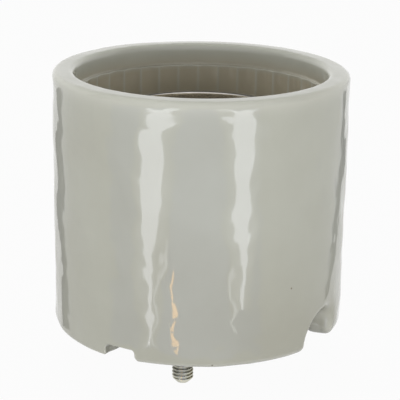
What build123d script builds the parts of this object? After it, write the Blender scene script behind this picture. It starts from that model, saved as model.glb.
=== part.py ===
"""Porcelain mogul (E39) lamp holder: glazed body, screw shell, sprung centre contact, wire clamps and studs.

Millimetres, +Z up the lamp axis, origin at the centre of the base plane.
The wire notches face +X and -X.
"""
from build123d import *
import math
import os

# Porcelain body, outside
BODY_DIAMETER = 66.7
BODY_HEIGHT = 58.7
BODY_DRAFT = 0.3
RIM_OUTER_ROUND = 1.6
RIM_INNER_ROUND = 1.5
BASE_ROUND = 1.0

# Porcelain body, mouth above the screw shell
RIM_WALL = 5.15
COLLAR_DEPTH = 4.9
LEDGE_WIDTH = 0.95
FLUTE_COUNT = 36
FLUTE_DEPTH = 0.4
MOUTH_DEPTH = 12.2
WELL_EDGE_ROUND = 0.4

# Porcelain body, web and wiring space
WEB_THICKNESS = 6.0
WIRING_DEPTH = 9.5
BASE_WALL = 7.0
BARRIER_WALL = 1.8
BARRIER_HEIGHT = 2.5
BARRIER_GAP = 1.2
BOSS_WALL = 2.6

# Notches in the base edge
WIRE_NOTCH_WIDTH = 12.2
WIRE_NOTCH_SHIFT = 0.9
WIRE_NOTCH_HEIGHT = 9.0
WIRE_NOTCH_CORNER = 3.2
WIRE_NOTCH_ROUND = 2.4
KEY_NOTCH_WIDTH = 7.0
KEY_NOTCH_HEIGHT = 2.6
KEY_NOTCH_CORNER = 1.3
KEY_NOTCH_ANGLE = -87.7

# E39 screw shell, inside diameters of the rolled thread
THREAD_MAJOR_DIAMETER = 39.9
THREAD_MINOR_DIAMETER = 36.2
THREAD_PITCH = 6.35
SHELL_WALL = 0.5
SHELL_DROP = 9.7
SHELL_MOUTH_LENGTH = 2.2
SHELL_FOOT_LENGTH = 1.6
BEAD_RADIUS = 0.55
WELL_CLEARANCE = 0.6

# Shell rivets
RIVET_ANGLE = 50.0
RIVET_DIAMETER = 3.8
RIVET_HEAD_DIAMETER = 6.0
RIVET_HEAD_HEIGHT = 1.3
RIVET_CLINCH_HEIGHT = 0.9
WASHER_DIAMETER = 8.6

# Mounting studs, number 10 rolled thread below the base, plain shank and hexagon heads
HEX_SIDES = 6
STUD_SPACING = 33.3
STUD_ANGLE = -67.5
STUD_DIAMETER = 4.8
STUD_SHANK_DIAMETER = 4.3
STUD_PROJECTION = 9.5
STUD_TIP_CHAMFER = 0.7
STUD_HEAD_FLATS = 7.9
STUD_HEAD_HEIGHT = 3.2
STUD_FLOOR = 0.5

# Terminal plates and wire clamps
PLATE_THICKNESS = 1.5
PLATE_WIDTH = 9.4
PLATE_RING_WALL = 3.0
TERMINAL_SETBACK = 7.6
SCREW_DIAMETER = 4.8
SCREW_HEAD_DIAMETER = 8.4
SCREW_HEAD_HEIGHT = 2.4
SCREW_HEAD_ROUND = 0.6
SCREW_SLOT_WIDTH = 1.1
SCREW_SLOT_DEPTH = 1.2
SCREW_ENGAGEMENT = 3.4
SADDLE_THICKNESS = 1.2
SADDLE_WIDTH = 9.0
SADDLE_LIP_HEIGHT = 1.0
SADDLE_LIP_THICKNESS = 0.7

# Centre contact
CONTACT_DIAMETER = 15.0
CONTACT_HEIGHT = 10.5
CONTACT_RIM = 1.6
CONTACT_CROWN = 1.2
STEM_DIAMETER = 5.0
STEM_END = 0.6
BUSH_WALL = 1.6
BUSH_FLANGE_LIP = 2.15
BUSH_FLANGE_THICKNESS = 1.5
BUSH_NUT_WALL = 2.2
BUSH_NUT_HEIGHT = 2.2
CLIP_WIDTH = 2.4
CLIP_THICKNESS = 0.8
CLIP_GROOVE_DEPTH = 0.6
SPRING_WIRE_DIAMETER = 0.7
SPRING_TURNS = 4.0
SPRING_SEAT_DEPTH = 1.2

# Clearances
HOLE_CLEARANCE = 0.2
RUNNING_CLEARANCE = 0.05
SEAT_GAP = 0.05
HEX_CLEARANCE = 0.15
LIP_CLEARANCE = 0.4
SPRING_CLEARANCE = 0.6

# Body heights and radii that follow from the driving dimensions
BODY_RADIUS = BODY_DIAMETER / 2
BASE_RADIUS = BODY_RADIUS - BODY_DRAFT
BORE_RADIUS = BODY_RADIUS - RIM_WALL
FLUTE_RADIUS = BORE_RADIUS - LEDGE_WIDTH
MOUTH_FLOOR = BODY_HEIGHT - MOUTH_DEPTH
LEDGE_HEIGHT = BODY_HEIGHT - COLLAR_DEPTH
WELL_FLOOR = WIRING_DEPTH + WEB_THICKNESS
WIRING_RADIUS = BASE_RADIUS - BASE_WALL

# Contact heights and radii, from the web outwards
STEM_RADIUS = STEM_DIAMETER / 2
BUSH_RADIUS = STEM_RADIUS + RUNNING_CLEARANCE + BUSH_WALL
BUSH_FLANGE_RADIUS = BUSH_RADIUS + BUSH_FLANGE_LIP
BUSH_TOP = WELL_FLOOR + BUSH_FLANGE_THICKNESS
PLATE_BOTTOM = WIRING_DEPTH - PLATE_THICKNESS
NUT_BOTTOM = PLATE_BOTTOM - BUSH_NUT_HEIGHT
CLIP_TOP = NUT_BOTTOM - SEAT_GAP
CLIP_BOTTOM = CLIP_TOP - CLIP_THICKNESS
GROOVE_RADIUS = STEM_RADIUS - CLIP_GROOVE_DEPTH
CONTACT_RADIUS = CONTACT_DIAMETER / 2
CONTACT_TOP = WELL_FLOOR + CONTACT_HEIGHT
CONTACT_EDGE = CONTACT_TOP - CONTACT_CROWN
CONTACT_UNDERSIDE = CONTACT_EDGE - CONTACT_RIM
SPRING_SEAT = CONTACT_UNDERSIDE + SPRING_SEAT_DEPTH
SPRING_INNER_RADIUS = STEM_RADIUS + SPRING_CLEARANCE
SPRING_RADIUS = SPRING_INNER_RADIUS + SPRING_WIRE_DIAMETER / 2
SPRING_POCKET_RADIUS = SPRING_INNER_RADIUS + SPRING_WIRE_DIAMETER + SPRING_CLEARANCE

# Shell heights and radii
BARRIER_INNER_RADIUS = BUSH_FLANGE_RADIUS + BARRIER_GAP
BARRIER_RADIUS = BARRIER_INNER_RADIUS + BARRIER_WALL
THREAD_MAJOR_RADIUS = THREAD_MAJOR_DIAMETER / 2
THREAD_MINOR_RADIUS = THREAD_MINOR_DIAMETER / 2
WELL_RADIUS = THREAD_MAJOR_RADIUS + SHELL_WALL + WELL_CLEARANCE
FLANGE_OPENING_RADIUS = BARRIER_RADIUS + BARRIER_GAP
FLANGE_TOP = WELL_FLOOR + SHELL_WALL
THREAD_BOTTOM = FLANGE_TOP + SHELL_FOOT_LENGTH
SHELL_RIM = BODY_HEIGHT - SHELL_DROP
THREAD_TOP = SHELL_RIM - 2 * BEAD_RADIUS - SHELL_MOUTH_LENGTH
RIVET_CIRCLE_RADIUS = (FLANGE_OPENING_RADIUS + THREAD_MINOR_RADIUS) / 2

# Stud, terminal and clamp heights and radii
STUD_RADIUS = STUD_DIAMETER / 2
STUD_HOLE_RADIUS = STUD_RADIUS + HOLE_CLEARANCE
STUD_SEAT = WIRING_DEPTH + STUD_FLOOR
STUD_HEAD_TOP = STUD_SEAT + STUD_HEAD_HEIGHT
STUD_POCKET_FLATS = STUD_HEAD_FLATS + 2 * HEX_CLEARANCE
STUD_HEAD_TURN = STUD_ANGLE + 180 / HEX_SIDES
RIVET_RADIUS = RIVET_DIAMETER / 2
SCREW_RADIUS = SCREW_DIAMETER / 2
SCREW_HEAD_RADIUS = SCREW_HEAD_DIAMETER / 2
SADDLE_TOP = PLATE_BOTTOM - SEAT_GAP
SADDLE_BOTTOM = SADDLE_TOP - SADDLE_THICKNESS
SADDLE_LENGTH = SCREW_HEAD_DIAMETER + 2 * (LIP_CLEARANCE + SADDLE_LIP_THICKNESS)
SCREW_SEAT = SADDLE_BOTTOM - SEAT_GAP
SCREW_HEAD_BOTTOM = SCREW_SEAT - SCREW_HEAD_HEIGHT
SCREW_TOP = WIRING_DEPTH + SCREW_ENGAGEMENT


def on_circle(radius, angle):
    """Point on a circle about the lamp axis, at an angle in degrees from +X."""
    return radius * math.cos(math.radians(angle)), radius * math.sin(math.radians(angle))


TERMINAL_OFFSET = WIRING_RADIUS - TERMINAL_SETBACK
TERMINAL_PLACES = {"shell": (TERMINAL_OFFSET, 0.0), "contact": (-TERMINAL_OFFSET, 0.0)}
STUD_PLACES = {
    "front": on_circle(STUD_SPACING / 2, STUD_ANGLE),
    "rear": on_circle(STUD_SPACING / 2, STUD_ANGLE + 180),
}
RIVET_PLACES = {
    "live": on_circle(RIVET_CIRCLE_RADIUS, RIVET_ANGLE),
    "anchor": on_circle(RIVET_CIRCLE_RADIUS, RIVET_ANGLE + 180),
}


def cylinder(radius, bottom, top, place=(0.0, 0.0)):
    """Upright cylinder between two heights."""
    return Pos(*place, bottom) * extrude(Circle(radius), top - bottom)


def ring(inner, outer, bottom, top, place=(0.0, 0.0)):
    """Upright tube between two heights."""
    return Pos(*place, bottom) * extrude(Circle(outer) - Circle(inner), top - bottom)


def hexagon(flats, bottom, top, place=(0.0, 0.0), turn=0.0):
    """Upright hexagonal prism between two heights."""
    outline = RegularPolygon(flats / 2, HEX_SIDES, major_radius=False, rotation=turn)
    return Pos(*place, bottom) * extrude(outline, top - bottom)


def turned(outline, place=(0.0, 0.0)):
    """Solid turned about an upright axis from a closed outline of radius and height."""
    return Pos(*place, 0) * revolve(Plane.XZ * make_face(outline), Axis.Z)


def crowned(points, crown_top):
    """Closed outline whose last point rises in an arc to a crown on the axis."""
    radius, height = points[-1]
    rise = crown_top - height
    sphere = (radius**2 + rise**2) / (2 * rise)
    half_angle = math.asin(radius / sphere) / 2
    middle = (sphere * math.sin(half_angle), crown_top - sphere * (1 - math.cos(half_angle)))
    arc = ThreePointArc(points[-1], middle, (0, crown_top))
    return Polyline(*points) + arc + Line((0, crown_top), points[0])


def body_radius_at(height):
    """Outside radius of the drafted body."""
    return BASE_RADIUS + BODY_DRAFT * height / BODY_HEIGHT


def edges_at(shape, height, radius):
    """Circular edges about the lamp axis at one height and radius."""
    tolerance = 0.001
    circles = shape.edges().filter_by(GeomType.CIRCLE)
    return [
        edge
        for edge in circles
        if abs(edge.radius - radius) < tolerance and abs(edge.arc_center.Z - height) < tolerance
    ]


def wire_notch_edges(body):
    """Edges where the wire notches break through the outside of the body."""
    tolerance = 0.02
    found = []
    for edge in body.edges():
        points = [edge @ share for share in (0, 0.5, 1)]
        outside = all(
            abs(math.hypot(point.X, point.Y) - body_radius_at(point.Z)) < tolerance for point in points
        )
        middle = points[1]
        in_notch = abs(middle.Y) < WIRE_NOTCH_WIDTH / 2 + abs(WIRE_NOTCH_SHIFT) + tolerance
        if outside and in_notch and tolerance < middle.Z < WIRE_NOTCH_HEIGHT + tolerance:
            found.append(edge)
    return found


def base_edges(body):
    """Edges of the base plane, outside and around the wiring space."""
    tolerance = 0.001
    found = []
    for edge in body.edges():
        points = [edge @ share for share in (0, 0.5, 1)]
        if all(abs(point.Z) < tolerance for point in points):
            found.append(edge)
    return found


def fluted_prism():
    """Mouth below the ledge: shallow scallops that meet in upright arrises."""
    step = 360 / FLUTE_COUNT
    arcs = []
    for index in range(FLUTE_COUNT):
        start = on_circle(FLUTE_RADIUS, step * (index - 0.5))
        middle = on_circle(FLUTE_RADIUS + FLUTE_DEPTH, step * index)
        end = on_circle(FLUTE_RADIUS, step * (index + 0.5))
        arcs.append(ThreePointArc(start, middle, end))
    return Pos(0, 0, MOUTH_FLOOR) * extrude(make_face(arcs), LEDGE_HEIGHT - MOUTH_FLOOR)


def notch_bar(width, height, corner, angle, shift=0):
    """Bar through one side of the base wall, with rounded upper corners, open at the base plane."""
    outline = Rectangle(width, 2 * height)
    outline = fillet(outline.vertices(), corner)
    bar = extrude(Plane.YZ * outline, 2 * BASE_WALL)
    return Rot(0, 0, angle) * Pos(WIRING_RADIUS - BASE_WALL / 2, shift, 0) * bar


def porcelain_body():
    """Pressed body: outside, notches, mouth, well for the shell, web, wiring space and bosses."""
    outline = Polyline((0, 0), (BASE_RADIUS, 0), (BODY_RADIUS, BODY_HEIGHT), (0, BODY_HEIGHT), close=True)
    body = turned(outline)
    body -= cylinder(WIRING_RADIUS, 0, WIRING_DEPTH)
    for angle in (0, 180):
        body -= notch_bar(WIRE_NOTCH_WIDTH, WIRE_NOTCH_HEIGHT, WIRE_NOTCH_CORNER, angle, WIRE_NOTCH_SHIFT)
        body -= notch_bar(KEY_NOTCH_WIDTH, KEY_NOTCH_HEIGHT, KEY_NOTCH_CORNER, KEY_NOTCH_ANGLE + angle)
    body = fillet(wire_notch_edges(body), WIRE_NOTCH_ROUND)
    body = fillet(base_edges(body), BASE_ROUND)

    body = fillet(edges_at(body, BODY_HEIGHT, BODY_RADIUS), RIM_OUTER_ROUND)
    body -= cylinder(BORE_RADIUS, LEDGE_HEIGHT, BODY_HEIGHT)
    body = fillet(edges_at(body, BODY_HEIGHT, BORE_RADIUS), RIM_INNER_ROUND)
    body -= fluted_prism()
    body -= cylinder(WELL_RADIUS, WELL_FLOOR, MOUTH_FLOOR)
    body = fillet(edges_at(body, MOUTH_FLOOR, WELL_RADIUS), WELL_EDGE_ROUND)

    body += ring(BARRIER_INNER_RADIUS, BARRIER_RADIUS, WELL_FLOOR, WELL_FLOOR + BARRIER_HEIGHT)
    body -= cylinder(BUSH_RADIUS + HOLE_CLEARANCE, WIRING_DEPTH, WELL_FLOOR)
    for place in STUD_PLACES.values():
        body += cylinder(STUD_HOLE_RADIUS + BOSS_WALL, 0, WIRING_DEPTH, place)
        body -= cylinder(STUD_HOLE_RADIUS, 0, STUD_SEAT, place)
        body -= hexagon(STUD_POCKET_FLATS, STUD_SEAT, WELL_FLOOR, place, STUD_HEAD_TURN)
    for place in RIVET_PLACES.values():
        body -= cylinder(RIVET_RADIUS + HOLE_CLEARANCE, WIRING_DEPTH, WELL_FLOOR, place)
    for place in TERMINAL_PLACES.values():
        body -= cylinder(SCREW_RADIUS + HOLE_CLEARANCE, WIRING_DEPTH, SCREW_TOP + HOLE_CLEARANCE, place)
    return body


def thread_core(wall):
    """Rolled thread as a solid core: level circles whose centres climb a helix that fades at both ends."""
    length = THREAD_TOP - THREAD_BOTTOM
    fade = THREAD_PITCH / 2
    throw = (THREAD_MAJOR_RADIUS - THREAD_MINOR_RADIUS) / 2
    sections_per_turn = 12
    count = round(length / THREAD_PITCH * sections_per_turn)
    sections = []
    for index in range(count + 1):
        climb = length * index / count
        start = 0.5 - 0.5 * math.cos(math.pi * min(1.0, climb / fade))
        finish = 0.5 - 0.5 * math.cos(math.pi * min(1.0, (length - climb) / fade))
        radius = THREAD_MINOR_RADIUS + throw * (start + 1 - finish) + wall
        centre = on_circle(throw * start * finish, 360 * climb / THREAD_PITCH)
        sections.append(Pos(*centre, THREAD_BOTTOM + climb) * Circle(radius))
    return loft(sections)


def thread_wall(wall):
    """Curved side of the thread core, without its flat ends."""
    return thread_core(wall).faces().filter_by(GeomType.PLANE, reverse=True)


def screw_shell():
    """Thin rolled shell with a beaded mouth and an inward flange that the rivets hold."""
    bead_centre = (THREAD_MAJOR_RADIUS + BEAD_RADIUS, SHELL_RIM - BEAD_RADIUS)
    bead_end_radius = THREAD_MAJOR_RADIUS + SHELL_WALL
    bead_end_drop = math.sqrt(BEAD_RADIUS**2 - (BEAD_RADIUS - SHELL_WALL) ** 2)
    bead_start = (THREAD_MAJOR_RADIUS, bead_centre[1])
    bead_slant = BEAD_RADIUS * math.sqrt(0.5)
    bead_side = (bead_centre[0] + bead_slant, bead_centre[1] + bead_slant)
    bead_end = (bead_end_radius, bead_centre[1] - bead_end_drop)
    mouth = Line((THREAD_MAJOR_RADIUS, THREAD_TOP), bead_start)
    mouth += ThreePointArc(bead_start, bead_side, bead_end)
    mouth += Line(bead_end, (bead_end_radius, THREAD_TOP))
    foot = Polyline(
        (THREAD_MINOR_RADIUS, THREAD_BOTTOM),
        (THREAD_MINOR_RADIUS, FLANGE_TOP),
        (FLANGE_OPENING_RADIUS, FLANGE_TOP),
        (FLANGE_OPENING_RADIUS, WELL_FLOOR),
        (THREAD_MINOR_RADIUS + SHELL_WALL, WELL_FLOOR),
        (THREAD_MINOR_RADIUS + SHELL_WALL, THREAD_BOTTOM),
    )
    skins = thread_wall(0) + thread_wall(SHELL_WALL)
    for profile in (mouth, foot):
        skins += [Face.revolve(Plane.XZ * edge, 360, Axis.Z) for edge in profile.edges()]
    shell = Part(Solid(Shell(skins)).wrapped)
    for place in RIVET_PLACES.values():
        shell -= cylinder(RIVET_RADIUS + SEAT_GAP, WELL_FLOOR, FLANGE_TOP, place)
    return shell


def shell_rivet(place):
    """Rivet with a domed head on the shell flange and a clinched end under the plate."""
    head_radius = RIVET_HEAD_DIAMETER / 2
    clinch_bottom = PLATE_BOTTOM - RIVET_CLINCH_HEIGHT
    points = [
        (0, clinch_bottom),
        (RIVET_RADIUS, clinch_bottom),
        (head_radius, PLATE_BOTTOM),
        (RIVET_RADIUS, PLATE_BOTTOM),
        (RIVET_RADIUS, FLANGE_TOP),
        (head_radius, FLANGE_TOP),
    ]
    return turned(crowned(points, FLANGE_TOP + RIVET_HEAD_HEIGHT), place)


def anchor_washer():
    """Washer between the web and the clinched end of the anchor rivet."""
    place = RIVET_PLACES["anchor"]
    return ring(RIVET_RADIUS + SEAT_GAP, WASHER_DIAMETER / 2, PLATE_BOTTOM, WIRING_DEPTH, place)


def mounting_stud(place):
    """Hexagon headed stud: plain shank in the body and a threaded end that stands out below the base."""
    head = hexagon(STUD_HEAD_FLATS, STUD_SEAT, STUD_HEAD_TOP, place, STUD_HEAD_TURN)
    shank = cylinder(STUD_SHANK_DIAMETER / 2, 0, STUD_SEAT, place)
    thread = cylinder(STUD_RADIUS, -STUD_PROJECTION, 0, place)
    thread = chamfer(thread.edges().sort_by(Axis.Z)[0], STUD_TIP_CHAMFER)
    return head + shank + thread


def stud_seal(place):
    """Cement plug that fills the pocket above a stud head."""
    flats = STUD_POCKET_FLATS - 2 * SEAT_GAP
    return hexagon(flats, STUD_HEAD_TOP, WELL_FLOOR - SEAT_GAP, place, STUD_HEAD_TURN)


def strap(start, end):
    """Flat round-ended bar under the web, from one place to another."""
    run_x = end[0] - start[0]
    run_y = end[1] - start[1]
    direction = math.degrees(math.atan2(run_y, run_x))
    outline = SlotCenterToCenter(math.hypot(run_x, run_y), PLATE_WIDTH, direction)
    middle = Pos((start[0] + end[0]) / 2, (start[1] + end[1]) / 2, PLATE_BOTTOM)
    return middle * extrude(outline, PLATE_THICKNESS)


def tapped_hole(place):
    """Hole of a terminal screw in its plate."""
    return cylinder(SCREW_RADIUS + RUNNING_CLEARANCE, PLATE_BOTTOM, WIRING_DEPTH, place)


def shell_terminal_plate():
    """Plate from the live rivet to the shell's wire clamp."""
    plate = strap(TERMINAL_PLACES["shell"], RIVET_PLACES["live"])
    plate -= cylinder(RIVET_RADIUS + SEAT_GAP, PLATE_BOTTOM, WIRING_DEPTH, RIVET_PLACES["live"])
    return plate - tapped_hole(TERMINAL_PLACES["shell"])


def contact_terminal_plate():
    """Plate from the contact bush to the contact's wire clamp."""
    plate = strap(TERMINAL_PLACES["contact"], (0, 0))
    plate += cylinder(BUSH_RADIUS + PLATE_RING_WALL, PLATE_BOTTOM, WIRING_DEPTH)
    plate -= cylinder(BUSH_RADIUS + SEAT_GAP, PLATE_BOTTOM, WIRING_DEPTH)
    return plate - tapped_hole(TERMINAL_PLACES["contact"])


def terminal_saddle(place):
    """Clamp plate under a terminal, with a turned-down lip beside each side of the screw head."""
    saddle = Pos(*place, SADDLE_BOTTOM) * extrude(Rectangle(SADDLE_LENGTH, SADDLE_WIDTH), SADDLE_THICKNESS)
    lip = extrude(Rectangle(SADDLE_LIP_THICKNESS, SADDLE_WIDTH), -SADDLE_LIP_HEIGHT)
    reach = (SADDLE_LENGTH - SADDLE_LIP_THICKNESS) / 2
    for side in (-reach, reach):
        saddle += Pos(place[0] + side, place[1], SADDLE_BOTTOM) * lip
    return saddle - cylinder(SCREW_RADIUS + HOLE_CLEARANCE, SADDLE_BOTTOM, SADDLE_TOP, place)


def terminal_screw(place):
    """Slotted screw that hangs head down from its plate."""
    head = cylinder(SCREW_HEAD_RADIUS, SCREW_HEAD_BOTTOM, SCREW_SEAT, place)
    head = fillet(head.edges().sort_by(Axis.Z)[0], SCREW_HEAD_ROUND)
    slot = extrude(Rectangle(SCREW_HEAD_DIAMETER, SCREW_SLOT_WIDTH), SCREW_SLOT_DEPTH)
    head -= Pos(*place, SCREW_HEAD_BOTTOM) * slot
    return head + cylinder(SCREW_RADIUS, SCREW_SEAT, SCREW_TOP, place)


def contact_button():
    """Centre contact: crowned cap over the spring, with a stem grooved for its clip."""
    groove_bottom = CLIP_BOTTOM - SEAT_GAP
    groove_top = CLIP_TOP + SEAT_GAP
    points = [
        (0, groove_bottom - STEM_END),
        (STEM_RADIUS, groove_bottom - STEM_END),
        (STEM_RADIUS, groove_bottom),
        (GROOVE_RADIUS, groove_bottom),
        (GROOVE_RADIUS, groove_top),
        (STEM_RADIUS, groove_top),
        (STEM_RADIUS, SPRING_SEAT),
        (SPRING_POCKET_RADIUS, SPRING_SEAT),
        (SPRING_POCKET_RADIUS, CONTACT_UNDERSIDE),
        (CONTACT_RADIUS, CONTACT_UNDERSIDE),
        (CONTACT_RADIUS, CONTACT_EDGE),
    ]
    return turned(crowned(points, CONTACT_TOP))


def contact_spring():
    """Coil spring around the stem, between the bush and the cap."""
    wire_radius = SPRING_WIRE_DIAMETER / 2
    bottom = BUSH_TOP + wire_radius + SEAT_GAP
    top = SPRING_SEAT - wire_radius - SEAT_GAP
    path = Helix((top - bottom) / SPRING_TURNS, top - bottom, SPRING_RADIUS, center=(0, 0, bottom))
    section = Plane(path @ 0, z_dir=path % 0) * Circle(wire_radius)
    return sweep(section, path, is_frenet=True)


def contact_bush():
    """Flanged bush that guides the stem through the web."""
    bush = ring(STEM_RADIUS + RUNNING_CLEARANCE, BUSH_RADIUS, NUT_BOTTOM, WELL_FLOOR)
    return bush + ring(STEM_RADIUS + RUNNING_CLEARANCE, BUSH_FLANGE_RADIUS, WELL_FLOOR, BUSH_TOP)


def contact_bush_nut():
    """Nut that clamps the bush and the contact plate to the web."""
    nut = hexagon(2 * (BUSH_RADIUS + BUSH_NUT_WALL), NUT_BOTTOM, PLATE_BOTTOM)
    return nut - cylinder(BUSH_RADIUS + SEAT_GAP, NUT_BOTTOM, PLATE_BOTTOM)


def contact_clip():
    """Open clip in the stem's groove, which stops the contact at its highest place."""
    clip = ring(GROOVE_RADIUS + SEAT_GAP, STEM_RADIUS + CLIP_WIDTH, CLIP_BOTTOM, CLIP_TOP)
    opening = Rectangle(STEM_RADIUS + CLIP_WIDTH, 2 * GROOVE_RADIUS, align=(Align.MIN, Align.CENTER))
    return clip - Pos(0, 0, CLIP_BOTTOM) * extrude(opening, CLIP_THICKNESS)


pieces = {
    "porcelain_body": porcelain_body(),
    "screw_shell": screw_shell(),
    "anchor_washer": anchor_washer(),
    "shell_terminal_plate": shell_terminal_plate(),
    "contact_terminal_plate": contact_terminal_plate(),
    "contact_button": contact_button(),
    "contact_spring": contact_spring(),
    "contact_bush": contact_bush(),
    "contact_bush_nut": contact_bush_nut(),
    "contact_clip": contact_clip(),
}
for side, place in RIVET_PLACES.items():
    pieces[f"shell_rivet_{side}"] = shell_rivet(place)
for side, place in STUD_PLACES.items():
    pieces[f"mounting_stud_{side}"] = mounting_stud(place)
    pieces[f"stud_seal_{side}"] = stud_seal(place)
for side, place in TERMINAL_PLACES.items():
    pieces[f"{side}_terminal_saddle"] = terminal_saddle(place)
    pieces[f"{side}_terminal_screw"] = terminal_screw(place)

os.makedirs("parts", exist_ok=True)
for name, piece in pieces.items():
    export_step(piece, f"parts/{name}.step")
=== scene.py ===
"""Porcelain mogul lamp holder: finished pieces around its solid model, laid out as a Blender add-on."""
import math

import bmesh
import bpy
import numpy as np
from bpy.props import FloatProperty, FloatVectorProperty, IntProperty, PointerProperty
from mathutils import Matrix, Vector
from mathutils.geometry import delaunay_2d_cdt


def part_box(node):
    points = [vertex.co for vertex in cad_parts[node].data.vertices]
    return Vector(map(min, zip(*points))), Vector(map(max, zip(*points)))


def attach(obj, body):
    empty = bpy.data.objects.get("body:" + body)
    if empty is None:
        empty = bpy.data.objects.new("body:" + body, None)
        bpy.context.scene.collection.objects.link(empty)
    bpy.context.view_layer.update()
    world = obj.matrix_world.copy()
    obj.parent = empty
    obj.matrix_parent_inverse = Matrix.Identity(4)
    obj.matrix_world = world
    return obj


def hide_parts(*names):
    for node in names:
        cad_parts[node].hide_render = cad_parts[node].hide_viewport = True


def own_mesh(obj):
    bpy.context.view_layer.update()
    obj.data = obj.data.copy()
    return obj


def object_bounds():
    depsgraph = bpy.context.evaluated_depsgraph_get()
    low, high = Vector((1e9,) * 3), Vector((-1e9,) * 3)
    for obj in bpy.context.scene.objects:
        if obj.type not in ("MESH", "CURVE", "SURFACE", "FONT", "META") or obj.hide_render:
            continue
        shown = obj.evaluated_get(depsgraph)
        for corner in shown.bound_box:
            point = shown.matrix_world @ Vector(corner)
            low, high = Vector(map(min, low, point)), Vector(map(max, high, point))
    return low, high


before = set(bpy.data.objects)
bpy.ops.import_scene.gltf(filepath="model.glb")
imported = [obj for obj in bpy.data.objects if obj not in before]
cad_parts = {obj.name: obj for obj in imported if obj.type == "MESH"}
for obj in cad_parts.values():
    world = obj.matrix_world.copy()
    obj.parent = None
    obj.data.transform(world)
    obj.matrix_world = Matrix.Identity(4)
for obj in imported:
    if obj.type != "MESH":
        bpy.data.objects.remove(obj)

bl_info = {
    "name": "Porcelain lamp holder",
    "version": (1, 0, 0),
    "blender": (4, 5, 0),
    "location": "View3D > Sidebar > Lamp holder",
    "description": "Builds the finished pieces of a porcelain mogul lamp holder around its solid model",
    "category": "Object",
}

CAD_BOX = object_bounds()
MM = 0.001
TINY = 0.01 * MM
TURN = 2 * math.pi
# Points closer than this are one point, and an edge that bends more than this stays sharp.
MERGE = 0.002 * MM
SHARP_EDGE, SHARP_FOLD = math.radians(40), math.radians(50)
BODY_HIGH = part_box("porcelain_body")[1]
SHELL_LOW, SHELL_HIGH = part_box("screw_shell")
RIVETS = ("shell_rivet_live", "shell_rivet_anchor")


def linear(hex_colour):
    """Linear colour, with alpha, of an sRGB hex value."""
    shares = [int(hex_colour[start:start + 2], 16) / 255 for start in (1, 3, 5)]
    curve = [share / 12.92 if share <= 0.04045 else ((share + 0.055) / 1.055) ** 2.4 for share in shares]
    return (*curve, 1.0)


def length(name, description, millimetres):
    """Length property, written in millimetres and kept in metres."""
    default = millimetres * MM
    return FloatProperty(name=name, description=description, default=default, unit="LENGTH", precision=5)


def two_lengths(name, description, millimetres):
    """Pair of lengths, for the two sides of a notch, written in millimetres and kept in metres."""
    default = [value * MM for value in millimetres]
    return FloatVectorProperty(
        name=name, description=description, default=default, size=2, unit="LENGTH", precision=5)


def degrees(name, description, value):
    """Angle property, written in degrees and kept in radians."""
    return FloatProperty(name=name, description=description, default=math.radians(value), subtype="ANGLE")


def watts(name, description, value):
    """Property for the power of a lamp."""
    return FloatProperty(name=name, description=description, default=value, unit="POWER")


def colour(name, description, hex_colour):
    """Colour property, written as an sRGB hex value and kept linear."""
    default = linear(hex_colour)
    return FloatVectorProperty(name=name, description=description, default=default, size=4, subtype="COLOR")


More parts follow.
